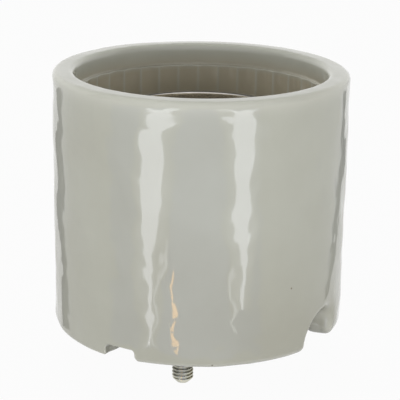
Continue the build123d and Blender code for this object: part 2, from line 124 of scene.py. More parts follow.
class PorcelainSizes(bpy.types.PropertyGroup):
    """Sizes of the porcelain body."""

    draft: length("Draft", "How much wider the body is at the rim than at the base, on the radius", 0.3)
    rim_wall: length("Rim wall", "Wall thickness at the rim", 5.15)
    rim_outer_round: length("Outer rim round", "Radius of the outer rim edge", 1.5)
    rim_inner_round: length("Inner rim round", "Radius of the inner rim edge", 1.5)
    collar_depth: length("Collar depth", "Depth of the smooth bore below the rim", 4.9)
    ledge_width: length("Ledge width", "Width of the ledge at an arris", 0.95)
    ledge_round: length("Ledge round", "Radius of the glaze over the ledge's edge", 0.35)
    flute_count: IntProperty(name="Flutes", description="Flutes round the mouth", default=36)
    flute_depth: length("Flute depth", "Depth of a flute between its arrises", 0.4)
    arris_round: length("Arris round", "Radius of the glaze over an arris", 0.22)
    mouth_depth: length("Mouth depth", "Depth of the mouth's floor below the rim", 12.2)
    corner_round: length("Corner round", "Radius where glaze gathers in a corner", 0.5)
    well_floor_round: length("Well floor round", "Radius where the well meets its floor", 0.08)
    well_radius: length("Well radius", "Radius of the well that holds the screw shell", 21.05)
    base_round: length("Base round", "Radius of the outer base edge", 1.3)
    base_inner_round: length("Inner base round", "Radius of the base edge beside the wiring space", 1.4)
    base_wall: length("Base wall", "Wall thickness round the wiring space", 7.0)
    wiring_depth: length("Wiring depth", "Depth of the wiring space in the base", 9.5)
    web: length("Web", "Thickness of the web over the wiring space", 6.0)
    barrier_radius: length("Barrier radius", "Inner radius of the ring round the centre contact", 7.5)
    barrier_wall: length("Barrier wall", "Wall of the ring round the centre contact", 1.8)
    barrier_height: length("Barrier height", "Height of the ring round the centre contact", 2.5)
    bush_hole_radius: length("Bush hole radius", "Radius of the centre hole in the web", 4.35)
    boss_radius: length("Boss radius", "Radius of the bosses round the studs", 5.2)
    stud_hole_radius: length("Stud hole radius", "Radius of the stud holes", 2.6)
    stud_seat: length("Stud seat", "Height of the seat under the stud heads", 10.0)
    pocket_flats: length("Pocket flats", "Width across flats of the pockets over the stud heads", 8.2)
    rivet_hole_radius: length("Rivet hole radius", "Radius of the rivet holes in the web", 2.1)
    screw_hole_radius: length("Screw hole radius", "Radius of the terminal screw holes", 2.6)
    screw_hole_depth: length("Screw hole depth", "Depth of the terminal screw holes in the web", 3.6)
    wire_notch_width: length("Wire notch width", "Width of the two wire notches", 9.55)
    wire_notch_height: two_lengths("Wire notch heights", "Heights of its two upper corners", (8.6, 6.2))
    wire_notch_shift: length("Wire notch shift", "How far a wire notch sits round the wall", -0.08)
    wire_notch_corner: two_lengths("Wire notch corners", "Radii of its upper corners", (4.6, 2.4))
    wire_notch_flare: two_lengths("Wire notch flare", "How much each side leans out to its foot", (1.2, -1.0))
    wire_notch_foot: two_lengths("Wire notch foot", "Radii where a wire notch meets the base", (1.9, 2.6))
    wire_notch_base_round: two_lengths("Wire notch base round", "Outer edge radii at its feet", (1.5, 2.5))
    wire_notch_side_round: two_lengths("Wire notch side round", "Outer edge radii up its sides", (0.9, 3.4))
    wire_notch_inner_round: two_lengths("Wire notch inner round", "Inner edge radii at its feet", (1.6, 1.5))
    key_notch_width: length("Key notch width", "Width of the two shallow notches", 6.8)
    key_notch_height: two_lengths("Key notch heights", "Heights of its two upper corners", (2.6, 2.6))
    key_notch_shift: length("Key notch shift", "How far a shallow notch sits round the wall", -0.4)
    key_notch_corner: two_lengths("Key notch corners", "Radii of its upper corners", (0.8, 0.4))
    key_notch_flare: two_lengths("Key notch flare", "How much each side leans out to its foot", (0.0, 0.2))
    key_notch_foot: two_lengths("Key notch foot", "Radii where a shallow notch meets the base", (0.7, 1.5))
    key_notch_base_round: two_lengths("Key notch base round", "Outer edge radii at its feet", (0.6, 1.1))
    key_notch_side_round: two_lengths("Key notch side round", "Outer edge radii up its sides", (0.4, 0.4))
    key_notch_inner_round: two_lengths("Key notch inner round", "Inner edge radii at its feet", (0.5, 1.3))
    key_notch_angle: degrees("Key notch angle", "Direction of a shallow notch, counted from a wire notch", 93.0)
    sag_depth: length("Sag depth", "How far the body strays from true", 0.24)
    sag_width: length("Sag width", "Size of the slow waves in the body", 34.0)
    ripple_depth: length("Ripple depth", "Depth of the waves in the glaze", 0.20)
    ripple_width: length("Ripple width", "Size of the waves in the glaze", 8.0)


class MetalSizes(bpy.types.PropertyGroup):
    """Sizes of the metal pieces."""

    shell_wall: length("Shell wall", "Sheet thickness of the screw shell", 0.5)
    thread_minor: length("Thread minor radius", "Inside radius of the rolled thread at its crests", 18.1)
    thread_throw: length("Thread throw", "Half the depth of the rolled thread", 0.925)
    thread_pitch: length("Thread pitch", "Pitch of the rolled thread", 6.35)
    shell_foot: length("Shell foot", "Plain height of the shell above its flange", 1.6)
    shell_mouth: length("Shell mouth", "Plain height of the shell below its bead", 2.2)
    bead_radius: length("Bead radius", "Radius of the rolled bead at the shell's mouth", 0.55)
    flange_opening: length("Flange opening", "Radius of the opening in the shell's flange", 10.5)
    rivet_radius: length("Rivet radius", "Radius of the rivet shanks", 1.9)
    rivet_head_radius: length("Rivet head radius", "Radius of the rivet heads", 3.0)
    rivet_clinch: length("Rivet clinch", "Height of a rivet's clinched end", 0.9)
    rivet_head: length("Rivet head", "Height of a rivet's domed head", 1.3)
    screw_pitch: length("Screw pitch", "Pitch of the stud and terminal screw threads", 0.794)
    screw_thread_depth: length("Thread depth", "Depth of the stud and terminal screw threads", 0.42)
    screw_radius: length("Screw radius", "Outside radius of the stud and screw threads", 2.4)
    stud_chamfer: length("Stud chamfer", "Chamfer on the tip of a stud", 1.1)
    saddle_seat: length("Saddle seat", "Depth of a clamp screw's seat below the top of its saddle", 1.25)
    contact_underside: length("Contact underside", "Height of the contact cap's lower face", 23.2)
    contact_edge: length("Contact edge", "Height of the contact cap's upper edge", 24.8)
    spring_seat: length("Spring seat", "Height of the spring's seat in the cap", 24.4)
    spring_pocket: length("Spring pocket", "Radius of the spring's pocket in the cap", 4.4)
    spring_wire: length("Spring wire", "Wire radius of the contact spring", 0.35)
    spring_turns: FloatProperty(name="Spring turns", description="Turns of the contact spring", default=4.0)
    stem_radius: length("Stem radius", "Radius of the contact's stem", 2.5)
    groove_radius: length("Groove radius", "Radius of the stem in its clip groove", 1.9)
    clip_bottom: length("Clip bottom", "Height of the clip's lower face", 4.95)
    clip_thickness: length("Clip thickness", "Thickness of the clip", 0.8)
    edge_break: length("Edge break", "Width of the broken edges on the stamped and turned pieces", 0.12)


class FinishColours(bpy.types.PropertyGroup):
    """Colours of the finishes."""

    glaze: colour("Glaze", "Pale grey glaze", "#B5B6AB")
    # Painted shade low on the wall, also mixed at random into the glaze's clouds.
    glaze_warm: colour("Warm glaze", "Glaze where it has run down and lies thick", "#A8A79A")
    # Paler glaze over edges, also the colour of the painted highlights and the painted fill light.
    glaze_pale_and_painted_light: colour("Thin glaze", "Glaze where it draws thin over an edge", "#D3D3C9")
    # Painted shade: the darker, warmer colour painted in the mouth and at a notch's far edge.
    glaze_painted_shade: colour("Thick glaze", "Glaze where it gathers in the mouth", "#ADA693")
    glaze_fleck: colour("Fleck", "Iron flecks in the porcelain", "#7D7667")
    nickel: colour("Nickel", "Nickel plate", "#E6E0D1")
    nickel_stain: colour("Nickel stain", "Stained nickel plate", "#94897A")
    brass: colour("Brass", "Clean brass", "#C9A25A")
    brass_stain: colour("Brass stain", "Dulled brass", "#8F6B36")
    zinc: colour("Zinc", "Zinc plate", "#C9C7B6")
    zinc_stain: colour("Zinc stain", "Dulled zinc plate", "#7F7F76")
    spring: colour("Spring steel", "Oiled spring steel", "#8A8B8D")
    spring_stain: colour("Spring steel stain", "Oil on the spring steel", "#5B5650")
    cement: colour("Cement", "Sealing cement", "#CDC5B2")
    cement_grit: colour("Cement grit", "Grit in the sealing cement", "#A99F8A")


class StageSettings(bpy.types.PropertyGroup):
    """Camera and light."""

    distance: length("Camera distance", "From the camera to the middle of the body", 398.4)
    azimuth: degrees("Azimuth", "Camera direction from the front, towards +X", 33.5)
    elevation: degrees("Elevation", "Camera direction above the horizon", 16.15)
    roll: degrees("Roll", "Turn of the camera about its own axis", 0.82)
    fill: FloatProperty(name="Fill", description="Strength of the light from all sides", default=0.67)
    left: watts("Left", "Power of the soft light on the left", 1.95)
    right: watts("Right", "Power of the soft light on the right", 1.95)
    front: watts("Front", "Power of the low light in front", 2.6)
    top: watts("Top", "Power of the soft light from above", 3.4)
    window: FloatProperty(name="Window", description="Brightness of the tall soft windows", default=5.6)


def group_of(name):
    """One of the property groups, by its name on the scene."""
    return getattr(bpy.context.scene, name)


# Objects

def axis_of(node):
    """Where a solid's upright axis stands on the base plane."""
    low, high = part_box(node)
    return ((low + high) / 2)[:2]


def placed(name, data):
    """Object of that name with its data, linked to the scene."""
    made = bpy.data.objects.new(name, data)
    bpy.context.scene.collection.objects.link(made)
    return made


def applied(piece):
    """The piece with what its modifiers make as its plain mesh."""
    graph = bpy.context.evaluated_depsgraph_get()
    mesh = bpy.data.meshes.new_from_object(piece.evaluated_get(graph))
    piece.modifiers.clear()
    piece.data = mesh
    return piece


def dress(piece, body, slot, material, *nodes):
    """Gives a piece its material and the body it rides on, and hides the solids it stands for."""
    if material.name not in piece.data.materials:
        piece.data.materials.clear()
        piece.data.materials.append(material)
    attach(piece, body)
    if nodes:
        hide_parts(*nodes)
    return piece


def softened(node, width):
    """Copy of a solid's mesh with its triangles merged into faces and its sharp edges broken."""
    work = bmesh.new()
    work.from_mesh(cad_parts[node].data)
    bmesh.ops.remove_doubles(work, verts=work.verts, dist=MERGE)
    bmesh.ops.dissolve_limit(work, angle_limit=math.radians(1), verts=work.verts, edges=work.edges)
    mesh = bpy.data.meshes.new(node)
    work.to_mesh(mesh)
    work.free()
    mesh.shade_smooth()
    piece = placed(f"finished_{node}", mesh)
    bevel = piece.modifiers.new("broken_edges", "BEVEL")
    bevel.width = width
    bevel.segments = 2
    bevel.limit_method = "ANGLE"
    bevel.angle_limit = SHARP_EDGE
    bevel.harden_normals = True
    return applied(piece)


# Node trees

def add(tree, kind, inputs=None, **settings):
    """Adds a node with its settings. An input, by name or number, is a value, a socket or a node's first output."""
    node = tree.nodes.new(kind)
    for name, value in settings.items():
        setattr(node, name, value)
    for key, value in (inputs or {}).items():
        if isinstance(value, bpy.types.Node):
            value = value.outputs[0]
        if isinstance(value, bpy.types.NodeSocket):
            tree.links.new(value, node.inputs[key])
        else:
            node.inputs[key].default_value = value
    return node


def grow(name, seed, tree, values):
    """Runs a node tree on a seed mesh and keeps the result as a plain mesh on an object of that name."""
    piece = placed(name, seed)
    modifier = piece.modifiers.new(tree.name, "NODES")
    modifier.node_group = tree
    for item in tree.interface.items_tree:
        if item.in_out == "INPUT" and item.name in values:
            modifier[item.identifier] = values[item.name]
    return applied(piece)


def new_tree(name, sizes, vectors=()):
    """Geometry node tree with inputs for a seed, sizes, vectors and a material, and the sockets that give them."""
    tree = bpy.data.node_groups.new(name, "GeometryNodeTree")
    face = tree.interface
    face.new_socket("Geometry", in_out="INPUT", socket_type="NodeSocketGeometry")
    for size in sizes:
        face.new_socket(size, in_out="INPUT", socket_type="NodeSocketFloat")
    for vector in vectors:
        face.new_socket(vector, in_out="INPUT", socket_type="NodeSocketVector")
    face.new_socket("Material", in_out="INPUT", socket_type="NodeSocketMaterial")
    face.new_socket("Geometry", in_out="OUTPUT", socket_type="NodeSocketGeometry")
    return tree, {socket.name: socket for socket in add(tree, "NodeGroupInput").outputs}


def end_tree(tree, given, geometry):
    """Closes a tree: instances made real, then the material."""
    real = add(tree, "GeometryNodeRealizeInstances", {"Geometry": geometry})
    dressed = add(tree, "GeometryNodeSetMaterial", {"Geometry": real, "Material": given["Material"]})
    add(tree, "NodeGroupOutput", {"Geometry": dressed})
    return tree


def glaze_ripple_tree():
    """Draws a surface inwards by slow and fine waves, outside the mouth only and less so near the rim."""
    sizes = ("Sag depth", "Sag width", "Ripple depth", "Ripple width", "Clear radius", "Full radius", "Top")
    tree, given = new_tree("glaze_ripple", sizes)
    place = add(tree, "GeometryNodeInputPosition")
    flat = add(tree, "ShaderNodeVectorMath", {0: place, 1: (1.0, 1.0, 0.0)}, operation="MULTIPLY")
    radius = add(tree, "ShaderNodeVectorMath", {0: flat}, operation="LENGTH").outputs["Value"]
    total = 0.0
    for depth, width, seed in (("Sag depth", "Sag width", 0.4), ("Ripple depth", "Ripple width", 7.4)):
        scale = add(tree, "ShaderNodeMath", {0: 1.0, 1: given[width]}, operation="DIVIDE")
        pattern = {"Vector": place, "W": seed, "Scale": scale, "Detail": 1.0, "Roughness": 0.4}
        noise = add(tree, "ShaderNodeTexNoise", pattern, noise_dimensions="4D")
        reach = {"Value": noise, "From Min": 0.28, "From Max": 0.72, "To Max": given[depth]}
        wave = add(tree, "ShaderNodeMapRange", reach, interpolation_type="SMOOTHSTEP")
        total = add(tree, "ShaderNodeMath", {0: total, 1: wave}, operation="ADD")
    limits = {"Value": radius, "From Min": given["Clear radius"], "From Max": given["Full radius"], "To Max": -1.0}
    inward = add(tree, "ShaderNodeMapRange", limits, interpolation_type="SMOOTHSTEP")
    height = add(tree, "ShaderNodeSeparateXYZ", {0: place}).outputs[2]
    below = add(tree, "ShaderNodeMath", {0: given["Top"], 1: height}, operation="SUBTRACT")
    calm = {"Value": below, "From Max": 4.0 * MM, "To Min": 0.3, "To Max": 1.0}
    easing = add(tree, "ShaderNodeMapRange", calm, interpolation_type="SMOOTHSTEP")
    depth = add(tree, "ShaderNodeMath", {0: total, 1: easing}, operation="MULTIPLY")
    shift = add(tree, "ShaderNodeMath", {0: depth, 1: inward}, operation="MULTIPLY")
    normal = add(tree, "GeometryNodeInputNormal")
    offset = add(tree, "ShaderNodeVectorMath", {0: normal, "Scale": shift}, operation="SCALE")
    return end_tree(tree, given, add(tree, "GeometryNodeSetPosition", {0: given["Geometry"], "Offset": offset}))


def rolled_thread_tree():
    """Rolls a thread into a straight tube: level circles whose centres climb a helix that fades at both ends."""
    tree, given = new_tree("rolled_thread", ("Pitch", "Throw", "Bottom", "Top", "Fade"))
    place = add(tree, "GeometryNodeInputPosition")
    values = dict(given, z=add(tree, "ShaderNodeSeparateXYZ", {0: place}).outputs[2])
    for name, first, second in (("start", "z", "Bottom"), ("finish", "Top", "z")):
        run = add(tree, "ShaderNodeMath", {0: values[first], 1: values[second]}, operation="SUBTRACT")
        limits = {"Value": run, "From Max": given["Fade"]}
        values[name] = add(tree, "ShaderNodeMapRange", limits, interpolation_type="SMOOTHSTEP")
    for name, operation, *terms in (
        ("climb", "SUBTRACT", "z", "Bottom"),
        ("turns", "DIVIDE", "climb", "Pitch"),
        ("angle", "MULTIPLY", "turns", TURN),
        ("both", "MULTIPLY", "start", "finish"),
        ("throw", "MULTIPLY", "both", "Throw"),
        ("cosine", "COSINE", "angle"),
        ("sine", "SINE", "angle"),
        ("centre x", "MULTIPLY", "cosine", "throw"),
        ("centre y", "MULTIPLY", "sine", "throw"),
        ("rise", "SUBTRACT", "start", "finish"),
        ("widening", "MULTIPLY_ADD", "rise", "Throw", "Throw"),
    ):
        inputs = {number: values.get(term, term) for number, term in enumerate(terms)}
        values[name] = add(tree, "ShaderNodeMath", inputs, operation=operation)
    centre = add(tree, "ShaderNodeCombineXYZ", {0: values["centre x"], 1: values["centre y"]})
    flat = add(tree, "ShaderNodeVectorMath", {0: place, 1: (1.0, 1.0, 0.0)}, operation="MULTIPLY")
    outward = add(tree, "ShaderNodeVectorMath", {0: flat}, operation="NORMALIZE")
    wider = add(tree, "ShaderNodeVectorMath", {0: outward, "Scale": values["widening"]}, operation="SCALE")
    offset = add(tree, "ShaderNodeVectorMath", {0: wider, 1: centre}, operation="ADD")
    return end_tree(tree, given, add(tree, "GeometryNodeSetPosition", {0: given["Geometry"], "Offset": offset}))


def screw_thread_tree():
    """Adds a threaded rod to a piece: a sheet whose rows follow the helix, cut level and closed at both ends."""
    sizes = ("Radius", "Depth", "Pitch", "Bottom", "Top", "Chamfer", "Turns")
    tree, given = new_tree("screw_thread", sizes, ("Centre",))
    columns, rows_per_turn = 40, 6
    # Turns of the sheet below the rod, a flank's slope and start, and the part of a pitch that runs past an end.
    early, flank, root_flat, past = 2.0, 3.2, 0.25, 0.9
    rows = add(tree, "ShaderNodeMath", {0: given["Turns"], 1: rows_per_turn, 2: 1.0}, operation="MULTIPLY_ADD")
    sheet = {"Size X": 1.0, "Size Y": 1.0, "Vertices X": columns + 1, "Vertices Y": rows}
    grid = add(tree, "GeometryNodeMeshGrid", sheet)
    split = add(tree, "ShaderNodeSeparateXYZ", {0: add(tree, "GeometryNodeInputPosition")}).outputs
    values = dict(given, x=split[0], y=split[1])
    for name, operation, *terms in (
        ("around", "ADD", "x", 0.5),
        ("angle", "MULTIPLY", "around", TURN),
        ("share", "ADD", "y", 0.5),
        ("along", "MULTIPLY", "share", "Turns"),
        ("laps", "ADD", "along", "around"),
        ("climb", "ADD", "laps", -early),
        ("raw", "MULTIPLY_ADD", "climb", "Pitch", "Bottom"),
        ("over bottom", "MAXIMUM", "raw", "Bottom"),
        ("height", "MINIMUM", "over bottom", "Top"),
        ("half step", "ADD", "along", 1 / (4 * rows_per_turn)),
        ("wave", "PINGPONG", "half step", 0.5),
        ("slope", "MULTIPLY_ADD", "wave", flank, -root_flat),
        ("over root", "MAXIMUM", "slope", 0.0),
        ("ridge", "MINIMUM", "over root", 1.0),
        ("root", "SUBTRACT", "Radius", "Depth"),
        ("full", "MULTIPLY_ADD", "ridge", "Depth", "root"),
        ("above tip", "SUBTRACT", "height", "Bottom"),
        ("tip", "SUBTRACT", "Radius", "Chamfer"),
        ("cone", "ADD", "tip", "above tip"),
        ("limited", "MINIMUM", "full", "cone"),
        ("lead in", "MULTIPLY_ADD", "Pitch", -past, "Bottom"),
        ("lead out", "MULTIPLY_ADD", "Pitch", past, "Top"),
        ("past start", "GREATER_THAN", "raw", "lead in"),
        ("short of end", "LESS_THAN", "raw", "lead out"),
        ("within", "MULTIPLY", "past start", "short of end"),
        ("radius", "MULTIPLY", "limited", "within"),
        ("cosine", "COSINE", "angle"),
        ("sine", "SINE", "angle"),
        ("to x", "MULTIPLY", "cosine", "radius"),
        ("to y", "MULTIPLY", "sine", "radius"),
    ):
        inputs = {number: values.get(term, term) for number, term in enumerate(terms)}
        values[name] = add(tree, "ShaderNodeMath", inputs, operation=operation)
    point = add(tree, "ShaderNodeCombineXYZ", {0: values["to x"], 1: values["to y"], 2: values["height"]})
    moved = add(tree, "ShaderNodeVectorMath", {0: point, 1: given["Centre"]}, operation="ADD")
    rod = add(tree, "GeometryNodeSetPosition", {0: grid, "Position": moved})
    closed = add(tree, "GeometryNodeMergeByDistance", {0: rod, "Distance": MERGE})
    smooth = add(tree, "GeometryNodeSetShadeSmooth", {0: closed, "Shade Smooth": True})
    joined = add(tree, "GeometryNodeJoinGeometry", {0: given["Geometry"]})
    tree.links.new(smooth.outputs[0], joined.inputs[0])
    return end_tree(tree, given, joined)


def coil_spring_tree():
    """Coil of round wire that climbs from its lower seat."""
    tree, given = new_tree("coil_spring", ("Turns", "Radius", "Wire radius", "Height"), ("Foot",))
    points_per_turn, wire_points = 64, 16
    shape = {
        "Resolution": points_per_turn, "Rotations": given["Turns"], "Start Radius": given["Radius"],
        "End Radius": given["Radius"], "Height": given["Height"],
    }
    spiral = add(tree, "GeometryNodeCurveSpiral", shape)
    section = {"Resolution": wire_points, "Radius": given["Wire radius"]}
    wire = add(tree, "GeometryNodeCurvePrimitiveCircle", section)
    coil = add(tree, "GeometryNodeCurveToMesh", {"Curve": spiral, "Profile Curve": wire, "Fill Caps": True})
    raised = add(tree, "GeometryNodeTransform", {0: coil, "Translation": given["Foot"]})
    return end_tree(tree, given, add(tree, "GeometryNodeSetShadeSmooth", {0: raised, "Shade Smooth": True}))


def pair_tree():
    """Sets a copy of a piece at each of two places."""
    tree, given = new_tree("pair_of_pieces", (), ("First", "Second"))
    ends = {"Count": 2, "Start Location": given["First"], "Offset": given["Second"]}
    places = add(tree, "GeometryNodeMeshLine", ends, mode="END_POINTS")
    stood = {"Points": places, "Instance": given["Geometry"]}
    return end_tree(tree, given, add(tree, "GeometryNodeInstanceOnPoints", stood))


# Mesh building

def smoothstep(share):
    """Eased share between 0 and 1."""
    share = np.clip(share, 0.0, 1.0)
    return share * share * (3.0 - 2.0 * share)


def polar(angle, radius, height, centre=(0.0, 0.0)):
    """Points at angles, radii and heights round an upright axis."""
    angle, radius, height = np.broadcast_arrays(angle, radius, height)
    return np.column_stack([centre[0] + radius * np.cos(angle), centre[1] + radius * np.sin(angle), height])


def ring(angles, radius, centre=(0.0, 0.0)):
    """Flat outline of points at angles and radii round a centre."""
    return polar(angles, radius, 0.0, centre)[:, :2]


def even_angles(count, start=0.0):
    """Angles evenly spread round a circle."""
    return start + TURN * np.arange(count) / count


def nearness(distance, reach):
    """1 at no distance, falling smoothly to nothing beyond a reach."""
    return np.exp(-((distance / reach) ** 2))


def rounded(corners, spacing, arc_steps=6):
    """Points along straight runs whose corners, given as x, y and radius, are rounded."""
    points = [np.array(corners[0][:2])]
    for before, corner, after in zip(corners, corners[1:], corners[2:]):
        middle, radius = np.array(corner[:2]), corner[2]
        back, ahead = np.array(before[:2]) - middle, np.array(after[:2]) - middle
        back, ahead = back / np.linalg.norm(back), ahead / np.linalg.norm(ahead)
        turn = math.acos(np.clip(back @ ahead, -1.0, 1.0))
        between = (back + ahead) / np.linalg.norm(back + ahead)
        centre = middle + between * radius / math.sin(turn / 2)
        reach = radius / math.tan(turn / 2)
        first, last = middle + back * reach - centre, middle + ahead * reach - centre
        sweep = math.pi - turn
        for step in range(arc_steps + 1):
            share = step / arc_steps
            arm = math.sin((1 - share) * sweep) * first + math.sin(share * sweep) * last
            points.append(centre + arm / math.sin(sweep))
    points.append(np.array(corners[-1][:2]))
    path = [points[0]]
    for start, end in zip(points, points[1:]):
        parts = max(1, math.ceil(np.linalg.norm(end - start) / spacing))
        path += [start + (end - start) * part / parts for part in range(1, parts + 1)]
    return np.array(path)


def inside(points, loops):
    """Which flat points lie within the region that the loops bound, by counting crossings."""
    odd = np.zeros(len(points), bool)
    for loop in loops:
        for start, end in zip(loop, np.roll(loop, -1, axis=0)):
            if start[1] == end[1]:
                continue
            spans = (points[:, 1] > start[1]) != (points[:, 1] > end[1])
            slope = (end[0] - start[0]) / (end[1] - start[1])
            odd ^= spans & (points[:, 0] < start[0] + (points[:, 1] - start[1]) * slope)
    return odd


class Skin:
    """A closed mesh built up loop by loop, with a mark on each point for how the glaze lies there and what light or
    shade is painted there.
    """

    def __init__(self):
        self.points = []
        self.marks = []
        self.faces = []

    def loop(self, points, marks=0.0):
        """Adds points and returns their numbers."""
        first = len(self.points)
        self.points.extend(map(tuple, points))
        self.marks.extend(np.broadcast_to(marks, len(points)))
        return list(range(first, len(self.points)))

    def join(self, loops):
        """Joins each loop to the next, which has as many points, with quads."""
        for first, second in zip(loops, loops[1:]):
            self.faces.extend(zip(first, first[1:] + first[:1], second[1:] + second[:1], second))

    def rows(self, rows):
        """Joins a loop for each row of angles, radii, heights and marks, and returns the loops."""
        loops = [self.loop(polar(*place), marks) for *place, marks in rows]
        self.join(loops)
        return loops

    def turned(self, path, angles, centre=(0.0, 0.0)):
        """Joins a loop for each radius and height of a path, and returns the first and last loop."""
        loops = [self.loop(polar(angles, radius, height, centre)) for radius, height in path]
        self.join(loops)
        return loops[0], loops[-1]

    def turned_solid(self, path, angles):
        """Turns a path about the upright axis and closes it at both ends."""
        self.faces += [tuple(end) for end in self.turned(path, angles)]

    def fill(self, loops, flat, spacing, lift):
        """Fills the region between loops, laid out flat, with evenly spread triangles that lift puts in place."""
        rim = np.concatenate(flat)
        edges, start = [], 0
        for outline in flat:
            count = len(outline)
            edges += [(start + step, start + (step + 1) % count) for step in range(count)]
            start += count
        low, high = rim.min(axis=0), rim.max(axis=0)
        across, up = np.meshgrid(*(np.arange(low[axis], high[axis], spacing) for axis in (0, 1)))
        across[1::2] += spacing / 2
        grid = np.column_stack([across.ravel(), up.ravel()])
        grid = grid[inside(grid, flat)]
        # Points too near the rim would make slivers.
        nearest = [np.min(np.sum((rim - point) ** 2, axis=1)) for point in grid]
        grid = grid[np.array(nearest) > (0.6 * spacing) ** 2] if len(grid) else grid
        numbers = [number for loop in loops for number in loop]
        if len(grid):
            numbers += self.loop(lift(grid[:, 0], grid[:, 1]))
        # The triangles are found in millimetres, because in metres the points lie too close together.
        scaled = [Vector(point) for point in np.concatenate([rim, grid]) / MM]
        made, _, triangles, origin, _, _ = delaunay_2d_cdt(scaled, edges, [], 1, 1e-5)
        made = np.array([point[:] for point in made]) * MM
        corners = np.array(triangles)
        kept = corners[inside(made[corners].mean(axis=1), flat)]
        self.faces.extend(tuple(numbers[origin[corner][0]] for corner in face) for face in kept)

    def level(self, outlines, spacing, height):
        """Fills a level face. Its rim and holes are pairs of a loop and its flat outline."""
        loops, flat = zip(*outlines)
        self.fill(loops, flat, spacing, lambda x, y: np.column_stack([x, y, np.full(len(x), height)]))

    def mesh(self, name):
        """The finished mesh, with its marks as an attribute."""
        mesh = bpy.data.meshes.new(name)
        mesh.from_pydata(self.points, [], self.faces)
        mark = mesh.attributes.new("thin_glaze", "FLOAT", "POINT")
        mark.data.foreach_set("value", np.array(self.marks, np.float32))
        return outward(mesh)


def outward(mesh):
    """Turns a closed mesh's faces outwards and shades it smooth up to a sharp fold."""
    work = bmesh.new()
    work.from_mesh(mesh)
    bmesh.ops.recalc_face_normals(work, faces=work.faces)
    if work.calc_volume(signed=True) < 0:
        bmesh.ops.reverse_faces(work, faces=work.faces)
    work.to_mesh(mesh)
    work.free()
    mesh.shade_smooth()
    mesh.set_sharp_from_angle(angle=SHARP_FOLD)
    return mesh


# Materials

def new_material(name, **sockets):
    """Material with its constant sockets set, its tree, its shader and the Object coordinates for its patterns."""
    material = bpy.data.materials.new(name)
    material.use_nodes = True
    tree = material.node_tree
    shader = tree.nodes["Principled BSDF"]
    for socket, value in sockets.items():
        shader.inputs[socket.replace("_", " ")].default_value = value
    return material, tree, shader, add(tree, "ShaderNodeTexCoord").outputs["Object"]


def per_metre(millimetres):
    """Texture scale that gives a pattern of that size."""
    return 1 / (millimetres * MM)


def glazed_porcelain():
    """Electrical porcelain, pressed, dipped in a pale grey glaze and fired."""
    # To the eye: a wet gloss over faint clouds, edges where the glaze draws thin and pale, a few iron flecks. Light
    # and shade are painted on as well: highlights over the rim and the base edge, fill light on the far face of a
    # wire notch, and shade low on the wall, in the mouth and at the notch's far edge.
    tint = group_of("holder_colours")
    material, tree, shader, place = new_material("glazed_porcelain", Roughness=0.06, IOR=1.52)
    clouds = add(tree, "ShaderNodeTexNoise", {"Vector": place, "Scale": per_metre(24.0), "Detail": 3.0})
    drift = add(tree, "ShaderNodeMapRange", {"Value": clouds, "From Min": 0.35, "From Max": 0.68, "To Max": 0.5})
    # The wall is painted darker and warmer low down, as painted shade.
    height = add(tree, "ShaderNodeSeparateXYZ", {0: place}).outputs[2]
    run = add(tree, "ShaderNodeMapRange", {"Value": height, "From Min": 52 * MM, "From Max": 6 * MM, "To Max": 0.5})
    cloud_and_low_shade = {0: add(tree, "ShaderNodeMath", {0: drift, 1: run}), 6: tint.glaze[:], 7: tint.glaze_warm[:]}
    clouded_and_low_shaded = add(tree, "ShaderNodeMix", cloud_and_low_shade, data_type="RGBA").outputs[2]
    # The mark carries thin glaze and painted light above 0, and painted shade below it.
    mark = add(tree, "ShaderNodeAttribute", attribute_name="thin_glaze").outputs["Fac"]
    # Thin glaze, painted highlights and painted fill light take the pale colour.
    edge = {0: mark, 6: clouded_and_low_shaded, 7: tint.glaze_pale_and_painted_light[:]}
    thinned_and_painted_light = add(tree, "ShaderNodeMix", edge, data_type="RGBA").outputs[2]
    # Painted shade in the mouth and at a notch's far edge takes the darker, warmer colour.
    painted_shade_share = add(tree, "ShaderNodeMapRange", {"Value": mark, "From Min": 0.0, "From Max": -1.0})
    painted_shading = {0: painted_shade_share, 6: thinned_and_painted_light, 7: tint.glaze_painted_shade[:]}
    mixed = add(tree, "ShaderNodeMix", painted_shading, data_type="RGBA").outputs[2]
    # A fleck is a spot in some of the cells of a cell pattern 9 mm wide, where a cell's middle meets the surface.
    moved = add(tree, "ShaderNodeMapping", {"Vector": place, "Location": (0.004, 0.003, 0.002)})
    cells = add(tree, "ShaderNodeTexVoronoi", {"Vector": moved, "Scale": per_metre(9.0)}).outputs
    spot = add(tree, "ShaderNodeMapRange", {"Value": cells["Distance"], "From Min": 0.032, "From Max": 0.012})
    chance = add(tree, "ShaderNodeSeparateColor", {0: cells["Color"]})
    chosen = add(tree, "ShaderNodeMath", {0: chance, 1: 0.15}, operation="GREATER_THAN")
    fleck = add(tree, "ShaderNodeMath", {0: spot, 1: chosen}, operation="MULTIPLY")
    flecked = {0: fleck, 6: mixed, 7: tint.glaze_fleck[:]}
    tone = add(tree, "ShaderNodeMix", flecked, data_type="RGBA").outputs[2]
    tree.links.new(tone, shader.inputs["Base Color"])
    # The skin of the glaze is drawn as waves 3.4 mm wide, over the larger ones in the mesh.
    skin = add(tree, "ShaderNodeTexNoise", {"Vector": place, "Scale": per_metre(3.4), "Detail": 0.5})
    bump = add(tree, "ShaderNodeBump", {"Strength": 1.0, "Distance": 0.13 * MM, "Height": skin})
    tree.links.new(bump.outputs[0], shader.inputs["Normal"])
    return material


